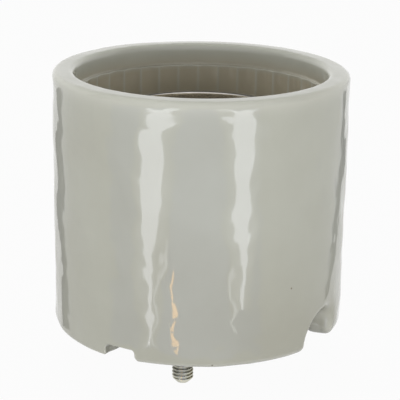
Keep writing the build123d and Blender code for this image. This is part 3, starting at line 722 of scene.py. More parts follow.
def stained_metal(name, clean, stain, roughness, stain_width, line_width):
    """Bright metal with turning or drawing lines round it and a faint stain."""
    material, tree, shader, place = new_material(name, Metallic=1.0)
    clouds = add(tree, "ShaderNodeTexNoise", {"Vector": place, "Scale": per_metre(stain_width), "Detail": 4.0})
    stained = add(tree, "ShaderNodeMapRange", {"Value": clouds, "From Min": 0.45, "From Max": 0.8})
    tone = add(tree, "ShaderNodeMix", {0: stained, 6: clean, 7: stain}, data_type="RGBA").outputs[2]
    tree.links.new(tone, shader.inputs["Base Color"])
    dulled = {"Value": stained, "To Min": roughness, "To Max": roughness + 0.18}
    tree.links.new(add(tree, "ShaderNodeMapRange", dulled).outputs[0], shader.inputs["Roughness"])
    along = add(tree, "ShaderNodeMapping", {"Vector": place, "Scale": (0.12, 0.12, 1.0)})
    lines = add(tree, "ShaderNodeTexNoise", {"Vector": along, "Scale": per_metre(line_width), "Detail": 2.0})
    bump = add(tree, "ShaderNodeBump", {"Strength": 0.25, "Distance": 0.02 * MM, "Height": lines})
    tree.links.new(bump.outputs[0], shader.inputs["Normal"])
    return material


def sealing_cement():
    """Cement pressed over a stud head: matt, gritty and pale."""
    tint = group_of("holder_colours")
    material, tree, shader, place = new_material("sealing_cement", Roughness=0.9)
    grit = add(tree, "ShaderNodeTexNoise", {"Vector": place, "Scale": per_metre(0.8), "Detail": 4.0})
    mixed = {0: grit, 6: tint.cement[:], 7: tint.cement_grit[:]}
    tree.links.new(add(tree, "ShaderNodeMix", mixed, data_type="RGBA").outputs[2], shader.inputs["Base Color"])
    bump = add(tree, "ShaderNodeBump", {"Strength": 0.6, "Distance": 0.1 * MM, "Height": grit})
    tree.links.new(bump.outputs[0], shader.inputs["Normal"])
    return material


def finishes():
    """The materials by slot name, made once."""
    tint = group_of("holder_colours")
    makers = {
        "glazed_porcelain": (glazed_porcelain,),
        "sealing_cement": (sealing_cement,),
        # Each metal has its roughness, then the widths of its stains and of its lines in millimetres.
        # Spun sheet under thin nickel: bright, with rings and a brown bloom where the plate has dulled.
        "nickel_plated_brass": (stained_metal, tint.nickel[:], tint.nickel_stain[:], 0.14, 9.0, 0.35),
        # Stamped and turned brass: yellow, with a brown bloom.
        "brass": (stained_metal, tint.brass[:], tint.brass_stain[:], 0.26, 6.0, 0.3),
        # Rolled steel thread under zinc: grey, a little dull.
        "zinc_plated_steel": (stained_metal, tint.zinc[:], tint.zinc_stain[:], 0.3, 2.5, 0.25),
        # Drawn wire and stamped clip, oiled: dark and smooth.
        "spring_steel": (stained_metal, tint.spring[:], tint.spring_stain[:], 0.3, 3.0, 0.3),
    }
    found = {}
    for name, (maker, *choices) in makers.items():
        made = next((old for old in bpy.data.materials if old.get("holder_finish") == name), None)
        found[name] = made or (maker(name, *choices) if choices else maker())
        found[name]["holder_finish"] = name
    return found


# Porcelain body

# A mark says how the glaze lies on a point and what is painted there: 1 is pale, where the glaze draws thin and
# where light is painted on, 0 is plain and -1 is darker and warmer, where shade is painted on.
# The rim's marks reach over its top as well, a painted highlight on top of the thin glaze at its edges.
PALE_RIM_INSIDE, RIM_INSIDE_REACH = 0.35, 1.4 * MM
PALE_RIM_OUTSIDE, RIM_OUTSIDE_REACH = 0.45, 2.5 * MM
BARE_LEDGE, LEDGE_REACH = 0.5, 0.5 * MM
BARE_ARRIS, PALE_BARE = 0.65, 0.2
# The base edge is paler at the middle of its outer round as a painted highlight and thin glaze, and on the foot
# below it.
PALE_BASE_EDGE, BASE_FLAT_SHARE, BASE_INSIDE_SHARE = 0.6, 0.6, 0.4
# The far face of a notch is painted lighter as fill light, and its outer edge darker as painted shade.
NOTCH_FACE_PAINTED_LIGHT, NOTCH_EDGE_PAINTED_SHADE = 0.55, 0.12

# Places across a flute, as shares of it, closer together at its arrises, and how far a flute takes to start.
FLUTE_PLACES = (0.0, 0.03, 0.08, 0.17, 0.28, 0.39, 0.5, 0.61, 0.72, 0.83, 0.92, 0.97)
FLUTE_EASE = 2.5 * MM

# Spacing of the points: along the base edge, on the wall outside and inside, and on the web.
EDGE_SPACING, OUTSIDE_SPACING, INSIDE_SPACING, WEB_SPACING = 0.6 * MM, 0.9 * MM, 1.2 * MM, 1.6 * MM
BAND_OVER_NOTCH = 6.0 * MM
NOTCH_INNER_SIDE_ROUND = 0.2 * MM


def wall_radius(height):
    """Outside radius of the drafted body at a height."""
    size = group_of("holder_porcelain")
    tall = BODY_HIGH.z
    base = BODY_HIGH.x - size.draft * (tall - size.rim_outer_round) / tall
    return base + size.draft * height / tall


def base_outline(size, wall_inner):
    """Lower edge of the wall round the body: angle outside and inside, height, two edge radii and the share of
    light and shade painted on a notch's far side.
    """
    names = ("width", "height", "shift", "corner", "flare", "foot", "base_round", "side_round", "inner_round")
    kinds = [[getattr(size, f"{kind}_{name}") for name in names] for kind in ("wire_notch", "key_notch")]
    half = math.pi
    centres = (half, half + size.key_notch_angle, 2 * half, 2 * half + size.key_notch_angle)
    arcs = []
    for centre, (width, height, shift, corner, flare, foot, *rounds) in zip(centres, kinds * 2):
        narrow = [(width - lean) / 2 for lean in flare]
        wide = [(width + lean) / 2 for lean in flare]
        land = [1.5 * radius for radius in foot]
        path = rounded([
            (-wide[0] - land[0], 0.0), (-wide[0], 0.0, foot[0]), (-narrow[0], height[0], corner[0]),
            (narrow[1], height[1], corner[1]), (wide[1], 0.0, foot[1]), (wide[1] + land[1], 0.0),
        ], spacing=0.8 * EDGE_SPACING, arc_steps=9)
        along, up = path.T
        outer = centre + np.arcsin((along + shift) / wall_radius(up))
        inner = centre + np.arcsin((along + shift) / wall_inner)
        # The edge goes over from one side's radii to the other's across the notch, and from foot to side up it.
        across = smoothstep(0.5 + along / width)
        at_foot, at_base, at_side, at_inside = (pair[0] + (pair[1] - pair[0]) * across for pair in (foot, *rounds))
        raised = smoothstep((up - 1.2 * at_foot) / (0.4 * height[0]))
        outer_round = at_base + (at_side - at_base) * raised
        inner_round = at_inside + (NOTCH_INNER_SIDE_ROUND - at_inside) * raised
        # Light and shade are painted up the far side, the more so the wider its edge is rounded.
        roll = rounds[1][1] / size.wire_notch_side_round[1]
        painted_shading = across * smoothstep(up / height[1]) * roll
        arcs.append(np.column_stack([outer, inner, up, outer_round, inner_round, painted_shading]))
    seam = 0.75 * half
    first = np.array([seam, seam, 0.0, size.base_round, size.base_inner_round, 0.0])
    last = first + np.array([TURN, TURN, 0.0, 0.0, 0.0, 0.0])
    outline = [first[None]]
    for arc in [*arcs, last[None]]:
        start, stop = outline[-1][-1], arc[0]
        parts = max(2, math.ceil((stop[0] - start[0]) * wall_radius(0.0) / EDGE_SPACING))
        shares = np.arange(1, parts)[:, None] / parts
        outline += [start + (stop - start) * shares, arc]
    return np.concatenate(outline)[:-1]


def base_edge_rows(outline, wall_inner, steps=6, across=4):
    """Rows of points that carry the outside round the wall's lower edge and up the inside."""
    outer_angle, inner_angle, height, outer_round, inner_round, painted_shading = outline.T
    run = np.column_stack([outer_angle * wall_radius(0.0), height])
    onward, before = np.roll(run, -1, axis=0), np.roll(run, 1, axis=0)
    lap = TURN * wall_radius(0.0)
    onward[-1, 0] += lap
    before[0, 0] -= lap
    tangent = onward - before
    tangent /= np.linalg.norm(tangent, axis=1)[:, None]
    down_side, down = tangent[:, 1], -tangent[:, 0]
    wall = wall_radius(0.0) - wall_inner
    flat = wall - outer_round - inner_round
    # Each row lies so deep in the wall and so far in from the outline, and is so pale there: a painted highlight
    # with thin glaze at the middle of the outer round, and thin glaze on the foot.
    bends = [math.pi / 2 * step / steps for step in range(steps + 1)]
    places = [(outer_round * (1 - math.cos(bend)), outer_round * (1 - math.sin(bend)), math.sin(2 * bend))
              for bend in bends]
    places += [(outer_round + flat * part / across, 0.0, BASE_FLAT_SHARE) for part in range(1, across)]
    places += [(wall - inner_round * (1 - math.cos(bend)), inner_round * (1 - math.sin(bend)),
                BASE_INSIDE_SHARE * math.sin(2 * bend)) for bend in reversed(bends)]
    rows = []
    inner_points = ring(inner_angle, wall_inner)
    for depth, inset, thin in places:
        share = depth / wall
        level = height - down * inset
        outer_points = ring(outer_angle, wall_radius(level))
        mixed = outer_points * (1 - share)[:, None] + inner_points * share[:, None]
        angle = np.unwrap(np.arctan2(mixed[:, 1], mixed[:, 0]))
        angle += TURN * np.round((outer_angle[0] - angle[0]) / TURN) - down_side * inset / wall_radius(0.0)
        radius = wall_radius(level) * (1 - share) + wall_inner * share
        # Painted light and shade on a notch's far side: painted shade at the outer edge, painted fill light further
        # in.
        face = NOTCH_FACE_PAINTED_LIGHT * np.minimum(1.0, 3 * share) - NOTCH_EDGE_PAINTED_SHADE
        rows.append((angle, radius, level, PALE_BASE_EDGE * thin * (1 - painted_shading) + painted_shading * face))
    return rows


def flute_profile(size, arris_radius):
    """Column angles that gather at the arrises, how deep the flute is at each, and how near its arris is."""
    shares = np.array(FLUTE_PLACES)
    step = TURN / size.flute_count
    angles = (np.arange(size.flute_count)[:, None] + 0.5 + shares[None]).ravel() * step
    chord = step * arris_radius
    apart = np.tile(np.minimum(shares, 1 - shares) * chord, size.flute_count)
    eased = np.sqrt(apart**2 + size.arris_round**2) - size.arris_round
    depth = size.flute_depth * (1 - (1 - 2 * eased / chord) ** 2)
    return angles, depth, nearness(apart, 1.3 * size.arris_round)


def mouth_rows(size, band_height):
    """Rows up the outside, over the rim, down the fluted mouth and into the well."""
    tall = BODY_HIGH.z
    edge = wall_radius(tall)
    bore = edge - size.rim_wall
    arris = bore - size.ledge_width
    ledge, floor = tall - size.collar_depth, tall - size.mouth_depth
    collar_top, well_floor = tall - size.rim_inner_round, size.wiring_depth + size.web
    gather = size.corner_round
    upper = rounded([
        (wall_radius(band_height), band_height), (edge, tall, size.rim_outer_round),
        (bore, tall, size.rim_inner_round), (bore, ledge, gather), (arris, ledge, size.ledge_round),
        (arris, floor, gather), (size.well_radius, floor, gather), (size.well_radius, floor - 2 * gather),
    ], spacing=1.0 * MM)
    lower = rounded([
        (size.well_radius, floor - 2 * gather), (size.well_radius, well_floor, size.well_floor_round),
        (size.well_radius - 1.3 * size.well_floor_round, well_floor),
    ], spacing=5.0 * MM)
    even = even_angles(len(FLUTE_PLACES) * size.flute_count, TURN / size.flute_count / 2)
    fluted, depth, near_arris = flute_profile(size, arris)
    rows = []
    for radius, height in np.concatenate([upper, lower[1:]]):
        in_mouth = radius <= bore + TINY
        spread = smoothstep((collar_top - height) / FLUTE_EASE) if in_mouth else 0.0
        on_floor = height < floor + gather
        share = (radius - arris) / FLUTE_EASE + 1 if on_floor else (bore - radius) / size.ledge_width
        share = float(np.clip(share, 0.0, 1.0)) if in_mouth and height >= floor - TINY else 0.0
        # Glaze draws thin over the ledge and the arrises. The rim's two edges and its top are paler, as thin glaze
        # and a painted highlight, and the mouth is painted darker and warmer the deeper it goes, as painted shade.
        rim_inside = nearness(math.hypot(radius - bore, height - tall), RIM_INSIDE_REACH)
        rim_outside = nearness(math.hypot(radius - edge, height - tall), RIM_OUTSIDE_REACH)
        on_ledge = nearness(math.hypot(radius - arris, height - ledge), LEDGE_REACH)
        on_arris = near_arris * share if height > floor + gather else 0.0
        bare = np.maximum(BARE_LEDGE * on_ledge, BARE_ARRIS * on_arris)
        # Painted shade: darker and warmer down into the mouth.
        painted_shade = smoothstep((collar_top - height) / size.collar_depth) if in_mouth else 0.0
        # Paler over the rim as thin glaze and painted highlight, and over the ledge and arrises as thin glaze.
        pale = PALE_RIM_INSIDE * rim_inside + PALE_RIM_OUTSIDE * rim_outside + PALE_BARE * bare
        rows.append((even + (fluted - even) * spread, radius + depth * share, height, pale - painted_shade * (1 - bare)))
    return rows


def wall_band(skin, edge, edge_loop, top_angles, top_loop, top_height, radius_at, spacing):
    """Fills the wall from its lower edge up to a level loop, laid out flat from one upright seam."""
    edge_angles, _, edge_heights, _ = edge
    seam, foot = edge_angles[0], edge_heights[0]
    first = int(np.argmin(np.abs((top_angles - seam + math.pi) % TURN - math.pi)))
    top_loop = top_loop[first:] + top_loop[:first]
    top_angles = np.unwrap(np.roll(top_angles, -first))
    top_angles += TURN * np.round((seam - top_angles[0]) / TURN)
    parts = max(2, round((top_height - foot) / spacing))
    shares = np.arange(1, parts) / parts
    seam_angles = seam + (top_angles[0] - seam) * shares
    seam_heights = foot + (top_height - foot) * shares
    seam_loop = skin.loop(polar(seam_angles, radius_at(seam_heights), seam_heights))
    angles = [np.append(edge_angles, seam + TURN), seam_angles + TURN,
              np.append(top_angles, top_angles[0] + TURN)[::-1], seam_angles[::-1]]
    heights = [np.append(edge_heights, foot), seam_heights,
               np.full(len(top_loop) + 1, top_height), seam_heights[::-1]]
    unrolled = wall_radius(0.0)
    flat = np.column_stack([np.concatenate(angles) * unrolled, np.concatenate(heights)])
    numbers = edge_loop + edge_loop[:1] + seam_loop + top_loop[:1] + top_loop[::-1] + seam_loop[::-1]
    skin.fill([numbers], [flat], spacing, lambda across, up: polar(across / unrolled, radius_at(up), up))


def web_openings(skin, size, web_bottom, web_top):
    """Contact ring, holes and stud bosses, and the outlines that they leave in the web's lower and upper face."""
    gather, lip = size.corner_round, 0.6 * size.corner_round
    # The ring round the contact runs on through the centre hole.
    around = even_angles(96)
    inner, outer, hole = size.barrier_radius, size.barrier_radius + size.barrier_wall, size.bush_hole_radius
    top = web_top + size.barrier_height
    path = rounded([
        (outer + 2 * gather, web_top), (outer, web_top, gather), (outer, top, gather), (inner, top, gather),
        (inner, web_top, gather), (hole, web_top, lip), (hole, web_bottom, lip), (hole + 2 * lip, web_bottom),
    ], spacing=2.0 * MM)
    above, below = skin.turned(path, around)
    lower = [(below, ring(around, path[-1][0]))]
    upper = [(above, ring(around, path[0][0]))]

    around = even_angles(32)
    for name in RIVETS:
        centre, hole = axis_of(name), size.rivet_hole_radius
        below, above = skin.turned([(hole, web_bottom), (hole, web_top)], around, centre)
        lower.append((below, ring(around, hole, centre)))
        upper.append((above, ring(around, hole, centre)))
    for name in ("shell_terminal_screw", "contact_terminal_screw"):
        centre, hole = axis_of(name), size.screw_hole_radius
        wall = [(hole, web_bottom), (hole, web_bottom + size.screw_hole_depth)]
        below, end = skin.turned(wall, around, centre)
        skin.faces.append(tuple(end))
        lower.append((below, ring(around, hole, centre)))

    around = even_angles(48)
    for name in ("mounting_stud_front", "mounting_stud_rear"):
        centre, boss, hole = axis_of(name), size.boss_radius, size.stud_hole_radius
        path = rounded([
            (boss + 2 * gather, web_bottom), (boss, web_bottom, gather), (boss, 0.0, gather), (hole, 0.0, lip),
            (hole, size.stud_seat),
        ], spacing=3.0 * MM)
        root, seat = skin.turned(path, around, centre)
        lower.append((root, ring(around, path[0][0], centre)))
        sixth = TURN / 6
        from_flat = (around - math.atan2(centre[1], centre[0]) + sixth / 2) % sixth - sixth / 2
        hexagon = size.pocket_flats / 2 / np.cos(from_flat)
        pocket = [skin.loop(polar(around, hexagon, height, centre)) for height in (size.stud_seat, web_top)]
        skin.join([seat, *pocket])
        upper.append((pocket[1], ring(around, hexagon, centre)))
    return lower, upper


def porcelain_mesh():
    """The whole body: outside and mouth, base edge with its notches, wiring space, web, bosses and holes."""
    size = group_of("holder_porcelain")
    skin = Skin()
    wall_inner = wall_radius(0.0) - size.base_wall
    web_bottom, web_top = size.wiring_depth, size.wiring_depth + size.web
    band_top = max(size.wire_notch_height) + BAND_OVER_NOTCH
    mouth = mouth_rows(size, band_top)
    rings = skin.rows(mouth)
    edge = base_edge_rows(base_outline(size, wall_inner), wall_inner)
    loops = skin.rows(edge)
    ceiling = even_angles(240)
    ceiling_loop = skin.loop(polar(ceiling, wall_inner, web_bottom))
    wall_band(skin, edge[0], loops[0], mouth[0][0], rings[0], band_top, wall_radius, OUTSIDE_SPACING)
    wall_band(
        skin, edge[-1], loops[-1], ceiling, ceiling_loop, web_bottom, lambda height: wall_inner, INSIDE_SPACING)
    lower, upper = web_openings(skin, size, web_bottom, web_top)
    skin.level([(ceiling_loop, ring(ceiling, wall_inner)), *lower], WEB_SPACING, web_bottom)
    skin.level([(rings[-1], ring(*mouth[-1][:2])), *upper], WEB_SPACING, web_top)
    return skin.mesh("glazed_body")


class HOLDER_OT_porcelain_body(bpy.types.Operator):
    """Build the glazed porcelain body"""

    bl_idname = "holder.porcelain_body"
    bl_label = "Porcelain body"

    def execute(self, context):
        size = group_of("holder_porcelain")
        material = finishes()["glazed_porcelain"]
        bore = wall_radius(BODY_HIGH.z) - size.rim_wall
        values = {
            "Sag depth": size.sag_depth, "Sag width": size.sag_width, "Ripple depth": size.ripple_depth,
            "Ripple width": size.ripple_width, "Clear radius": bore, "Full radius": bore + 0.6 * size.rim_wall,
            "Top": BODY_HIGH.z, "Material": material,
        }
        body = grow("glazed_body", porcelain_mesh(), glaze_ripple_tree(), values)
        dress(body, "holder", "glazed_porcelain", material, "porcelain_body")
        return {"FINISHED"}


# Screw shell and its rivets

RIVET_SLACK = 0.05 * MM
# Radius of the tiny face that closes a turned piece on its axis.
POLE = 0.02 * MM


class HOLDER_OT_screw_shell(bpy.types.Operator):
    """Build the rolled screw shell"""

    bl_idname = "holder.screw_shell"
    bl_label = "Screw shell"

    def execute(self, context):
        size = group_of("holder_metal")
        material = finishes()["nickel_plated_brass"]
        minor, wall, bead = size.thread_minor, size.shell_wall, size.bead_radius
        floor, rim, step = SHELL_LOW.z, SHELL_HIGH.z, 0.45 * MM
        corner, opening = minor - 2 * wall, size.flange_opening
        inside_wall = rounded([
            (corner, floor + wall), (minor, floor + wall, wall), (minor, rim - bead),
        ], spacing=step)
        turns = np.linspace(math.pi, -0.45 * math.pi, 14)
        beading = np.column_stack([minor + bead * (1 + np.cos(turns)), rim - bead + bead * np.sin(turns)])
        outside_wall = rounded([
            (minor + wall, rim - 2 * bead), (minor + wall, floor, 2 * wall), (corner, floor),
        ], spacing=step)
        skin = Skin()
        around, small = even_angles(180), even_angles(32)
        walls = skin.turned(np.concatenate([inside_wall, beading[1:], outside_wall]), around)
        lips = skin.turned([(opening, floor + wall), (opening, floor)], around)
        corner_ring, lip_ring = ring(around, corner), ring(around, opening)
        flange = [[(outer, corner_ring), (lip, lip_ring)] for outer, lip in zip(walls, lips)]
        for name in RIVETS:
            centre, hole = axis_of(name), size.rivet_radius + RIVET_SLACK
            holes = skin.turned([(hole, floor + wall), (hole, floor)], small, centre)
            for face, loop in zip(flange, holes):
                face.append((loop, ring(small, hole, centre)))
        for face, height in zip(flange, (floor + wall, floor)):
            skin.level(face, 1.5 * MM, height)
        values = {
            "Pitch": size.thread_pitch, "Throw": size.thread_throw, "Fade": size.thread_pitch / 2,
            "Bottom": floor + wall + size.shell_foot, "Top": rim - 2 * bead - size.shell_mouth,
            "Material": material,
        }
        shell = grow("rolled_shell", skin.mesh("rolled_shell"), rolled_thread_tree(), values)
        dress(shell, "holder", "nickel_plated_brass", material, "screw_shell")
        return {"FINISHED"}


class HOLDER_OT_shell_rivets(bpy.types.Operator):
    """Build the shell's rivets and the washer under one of them"""

    bl_idname = "holder.shell_rivets"
    bl_label = "Shell rivets"

    def execute(self, context):
        size = group_of("holder_metal")
        finish = finishes()
        places = [(*axis_of(name), 0.0) for name in RIVETS]
        low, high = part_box(RIVETS[0])
        under, over = low.z + size.rivet_clinch, high.z - size.rivet_head
        head, shank = size.rivet_head_radius, size.rivet_radius
        skirt, ease, corner = 0.3 * MM, 0.15 * MM, 0.05 * MM
        clinch = rounded([
            (POLE, low.z), (shank, low.z, skirt), (head, under, ease), (shank, under, corner),
            (shank, over, corner), (head, over, ease), (head, over + skirt),
        ], spacing=1.5 * MM)
        crown = [(head * math.cos(turn), over + skirt + (size.rivet_head - skirt) * math.sin(turn))
                 for turn in np.linspace(0, 0.495 * math.pi, 9)[1:]]
        skin = Skin()
        skin.turned_solid(np.concatenate([clinch, crown]), even_angles(40))
        values = {"First": places[0], "Second": places[1], "Material": finish["brass"]}
        rivets = grow("shell_rivets", skin.mesh("shell_rivets"), pair_tree(), values)
        dress(rivets, "holder", "brass", finish["brass"], "shell_rivet_live", "shell_rivet_anchor")
        washer = softened("anchor_washer", size.edge_break)
        dress(washer, "holder", "zinc_plated_steel", finish["zinc_plated_steel"], "anchor_washer")
        return {"FINISHED"}


# Studs, clamps and contact

# How far a threaded rod runs into the piece it belongs to, and turns of its sheet beyond both ends.
ROD_OVERLAP = 0.05 * MM
SPARE_TURNS = 5.0


def without_shank(node, cut_height, keep_above):
    """Copy of a solid with broken edges, cut level at a height and closed there."""
    size = group_of("holder_metal")
    piece = softened(node, size.edge_break)
    work = bmesh.new()
    work.from_mesh(piece.data)
    everything = work.verts[:] + work.edges[:] + work.faces[:]
    level = {"plane_co": (0.0, 0.0, cut_height), "plane_no": (0.0, 0.0, -1.0 if keep_above else 1.0)}
    cut = bmesh.ops.bisect_plane(work, geom=everything, clear_outer=True, **level)
    edges = [item for item in cut["geom_cut"] if isinstance(item, bmesh.types.BMEdge)]
    bmesh.ops.edgeloop_fill(work, edges=edges)
    mesh = bpy.data.meshes.new(piece.name)
    work.to_mesh(mesh)
    work.free()
    bpy.data.objects.remove(piece)
    mesh.shade_smooth()
    mesh.set_sharp_from_angle(angle=SHARP_EDGE)
    return mesh


def threaded(name, seed, node, tree, bottom, top, chamfer, material):
    """Piece made of a seed mesh and a threaded rod on its axis."""
    size = group_of("holder_metal")
    values = {
        "Radius": size.screw_radius, "Depth": size.screw_thread_depth, "Pitch": size.screw_pitch, "Bottom": bottom,
        "Top": top, "Chamfer": chamfer, "Turns": math.ceil((top - bottom) / size.screw_pitch) + SPARE_TURNS,
        "Centre": (*axis_of(node), 0.0), "Material": material,
    }
    return grow(name, seed, tree, values)


class HOLDER_OT_mounting_studs(bpy.types.Operator):
    """Build the mounting studs and the cement over their heads"""

    bl_idname = "holder.mounting_studs"
    bl_label = "Mounting studs"

    def execute(self, context):
        size = group_of("holder_metal")
        finish = finishes()
        tree = screw_thread_tree()
        for side in ("front", "rear"):
            node = f"mounting_stud_{side}"
            seed = without_shank(node, -ROD_OVERLAP, keep_above=True)
            zinc = finish["zinc_plated_steel"]
            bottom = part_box(node)[0].z + TINY
            stud = threaded(f"threaded_stud_{side}", seed, node, tree, bottom, 0.0, size.stud_chamfer, zinc)
            dress(stud, "holder", "zinc_plated_steel", zinc, node)
            seal = softened(f"stud_seal_{side}", size.edge_break)
            dress(seal, "holder", "sealing_cement", finish["sealing_cement"], f"stud_seal_{side}")
        return {"FINISHED"}


class HOLDER_OT_wire_clamps(bpy.types.Operator):
    """Build the terminal plates, saddles and screws"""

    bl_idname = "holder.wire_clamps"
    bl_label = "Wire clamps"

    def execute(self, context):
        size = group_of("holder_metal")
        finish = finishes()
        tree = screw_thread_tree()
        for side, screw_slot in (("shell", "nickel_plated_brass"), ("contact", "brass")):
            plate = softened(f"{side}_terminal_plate", size.edge_break)
            dress(plate, "holder", "brass", finish["brass"], f"{side}_terminal_plate")
            saddle = softened(f"{side}_terminal_saddle", size.edge_break)
            zinc = finish["zinc_plated_steel"]
            dress(saddle, f"{side}_clamp", "zinc_plated_steel", zinc, f"{side}_terminal_saddle")
            node = f"{side}_terminal_screw"
            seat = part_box(f"{side}_terminal_saddle")[1].z - size.saddle_seat
            seed = without_shank(node, seat + ROD_OVERLAP, keep_above=False)
            metal, top = finish[screw_slot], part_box(node)[1].z
            screw = threaded(f"clamp_screw_{side}", seed, node, tree, seat, top, 0.0, metal)
            dress(screw, f"{side}_screw", screw_slot, metal, node)
        return {"FINISHED"}


class HOLDER_OT_centre_contact(bpy.types.Operator):
    """Build the sprung centre contact with its bush, nut and clip"""

    bl_idname = "holder.centre_contact"
    bl_label = "Centre contact"

    def execute(self, context):
        size = group_of("holder_metal")
        finish = finishes()
        low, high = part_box("contact_button")
        stem, groove, slack, ease = size.stem_radius, size.groove_radius, 0.05 * MM, 0.15 * MM
        groove_low, groove_top = size.clip_bottom - slack, size.clip_bottom + size.clip_thickness + slack
        path = rounded([
            (POLE, low.z), (stem, low.z, ease), (stem, groove_low, ease), (groove, groove_low, ease),
            (groove, groove_top, ease), (stem, groove_top, ease), (stem, size.spring_seat, ease),
            (size.spring_pocket, size.spring_seat, ease), (size.spring_pocket, size.contact_underside, ease),
            (high.x, size.contact_underside, 2 * ease), (high.x, size.contact_edge),
        ], spacing=2.0 * MM)
        rise = high.z - size.contact_edge
        ball = (high.x**2 + rise**2) / (2 * rise)
        reach = math.asin(high.x / ball)
        crown = [(ball * math.sin(turn), high.z - ball * (1 - math.cos(turn)))
                 for turn in np.linspace(reach, 0.01 * reach, 12)[1:]]
        skin = Skin()
        skin.turned_solid(np.concatenate([path, crown]), even_angles(72))
        button = placed("turned_contact", skin.mesh("turned_contact"))
        nickel = finish["nickel_plated_brass"]
        dress(button, "contact", "nickel_plated_brass", nickel, "contact_button")

        steel = finish["spring_steel"]
        low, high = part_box("contact_spring")
        foot, free, wire = low.z, high.z - low.z, size.spring_wire
        values = {
            "Turns": size.spring_turns, "Radius": high.x - wire, "Wire radius": wire,
            "Height": free - 2 * wire, "Foot": (0.0, 0.0, foot + wire), "Material": steel,
        }
        spring = grow("coiled_spring", bpy.data.meshes.new("coiled_spring"), coil_spring_tree(), values)
        dress(spring, "holder", "spring_steel", steel, "contact_spring")
        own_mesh(spring)

        for name, body, slot in (
            ("contact_bush", "holder", "brass"), ("contact_bush_nut", "holder", "brass"),
            ("contact_clip", "contact", "spring_steel"),
        ):
            dress(softened(name, size.edge_break), body, slot, finish[slot], name)
        return {"FINISHED"}


# Stage

# The picture's width, the camera's focal length and the middle of its view, all in pixels.
PICTURE = 400
FOCAL_PIXELS = 1749.0
CENTRE_PIXEL = (199.4, 194.9)
SENSOR_WIDTH = 36.0
FLOOR_HALF = 2.0
FLOOR_GLOW = 0.96

# Softboxes: metres to the left, to the front and up, then width and height.
SOFTBOXES = {
    "top": (0.1, -0.3, 0.7, 0.5, 0.5),
    "left": (0.62, 0.4, 0.15, 0.6, 0.4),
    "right": (-0.7, 0.28, 0.15, 0.6, 0.4),
    "front": (0.0, 0.8, 0.025, 0.4, 0.05),
}

# Each panel of the light tent stands where the glaze shows it: rows of a height, a left and a right end, in pixels.
LEFT_WINDOW = (
    (109, 150, 180), (114, 149, 180), (119, 152, 174), (126, 146, 168), (138, 141, 164), (190, 142, 163),
    (216, 141, 160), (240, 142, 156), (262, 143, 153), (288, 146, 152), (308, 147, 151), (352, 147.5, 150),
)
LEFT_LINE = (
    (236, 164, 165), (255, 162.5, 164), (282, 157.5, 159), (302, 153.5, 155), (322, 155, 156.5), (335, 151.5, 153),
    (353, 157, 159),
)
RIGHT_WINDOW = (
    (109, 222, 256), (114, 225, 255), (119, 231, 248), (127, 231, 257), (138, 233, 255), (176, 233, 253),
    (208, 235, 249), (240, 237, 247), (268, 238.5, 244.5), (295, 239, 243), (308, 240, 242),
)
RIGHT_LINE = ((272, 231.5, 233), (290, 229.5, 231.5), (308, 233.5, 236), (326, 229, 231.5), (340, 233, 238))
FRONT_SKY = ((104, 112, 262), (356, 112, 262))
WARM_LAMP = (
    ((277, 173, 174.5), (298, 172, 174.5)), ((302, 170.5, 176), (321, 171, 176.5)),
    ((328, 173, 176), (333, 172.5, 176)), ((338, 172, 176), (350, 172.5, 175.5)),
)
LEFT_SHADE = (
    (92, 57, 61), (150, 57, 61.5), (200, 57.5, 62), (220, 57.5, 62.5), (260, 59.5, 66), (300, 60, 67),
    (332, 62, 69),
)
RIGHT_SHADE = (
    (90, 345.5, 343), (150, 343.8, 341), (200, 340, 337), (220, 338.2, 335.4), (260, 334, 330.5), (280, 332, 327.5),
    (300, 329, 325),
)


# Soft fringes of the windows and lines, from outside in: pixels beyond the end, and a brightness.
WINDOW_FRINGE = ((10, 1.0), (2.5, 1.9), (0.7, 2.2))
LINE_FRINGE = ((0.7, 1.0),)
LINE_SHARE, LAMP_SHARE = 0.6, 1.4
SHADE_LEVEL, SHADE_FADE = 0.25, 1.2
# How far the panels stand from the wall.
WINDOW_REACH, LINE_REACH, SKY_REACH, LAMP_REACH = 30.0 * MM, 28.8 * MM, 33.0 * MM, 27.0 * MM

# Rows of the half dome in front: degrees above the rim and brightness.
FRONT_DOME = ((4, 1.2), (20, 1.2), (40, 1.1), (55, 0.7), (75, 0.2))
DOME_RADIUS = 0.25
DOME_COLUMNS = 13


def emptied_tree(block):
    """Node tree of a material or a world, with nothing in it."""
    block.use_nodes = True
    block.node_tree.nodes.clear()
    return block.node_tree


def glowing(name, hex_colour):
    """Glowing material whose strength is the mesh's own "glow" attribute."""
    material = bpy.data.materials.new(name)
    tree = emptied_tree(material)
    strength = add(tree, "ShaderNodeAttribute", attribute_name="glow").outputs["Fac"]
    glow = add(tree, "ShaderNodeEmission", {"Color": linear(hex_colour), "Strength": strength})
    add(tree, "ShaderNodeOutputMaterial", {"Surface": glow})
    return material


def mirrored(camera, pixel, reach):
    """Point that the upright wall shows at a pixel, a reach away from the wall."""
    across, down = pixel[0] - CENTRE_PIXEL[0], pixel[1] - CENTRE_PIXEL[1]
    ray = camera.matrix_world.to_3x3() @ Vector((across / FOCAL_PIXELS, -down / FOCAL_PIXELS, -1.0))
    ray.normalize()
    eye = camera.matrix_world.translation
    radius = wall_radius(BODY_HIGH.z / 2) - 0.2 * MM
    a, b = ray.xy.length_squared, eye.xy.dot(ray.xy)
    near = (-b - math.sqrt(max(0.0, b * b - a * (eye.xy.length_squared - radius**2)))) / a
    hit = eye + ray * near
    normal = Vector((hit.x, hit.y, 0.0)).normalized()
    return hit + (ray - 2 * ray.dot(normal) * normal) * reach


def fringed(bright, fringe=()):
    """Profile of a panel that is bright from end to end, with a fringe beyond each end."""
    before = [(0, -shift, level) for shift, level in fringe]
    after = [(1, shift, level) for shift, level in reversed(fringe)]
    return [*before, (0, 0, bright), (1, 0, bright), *after]


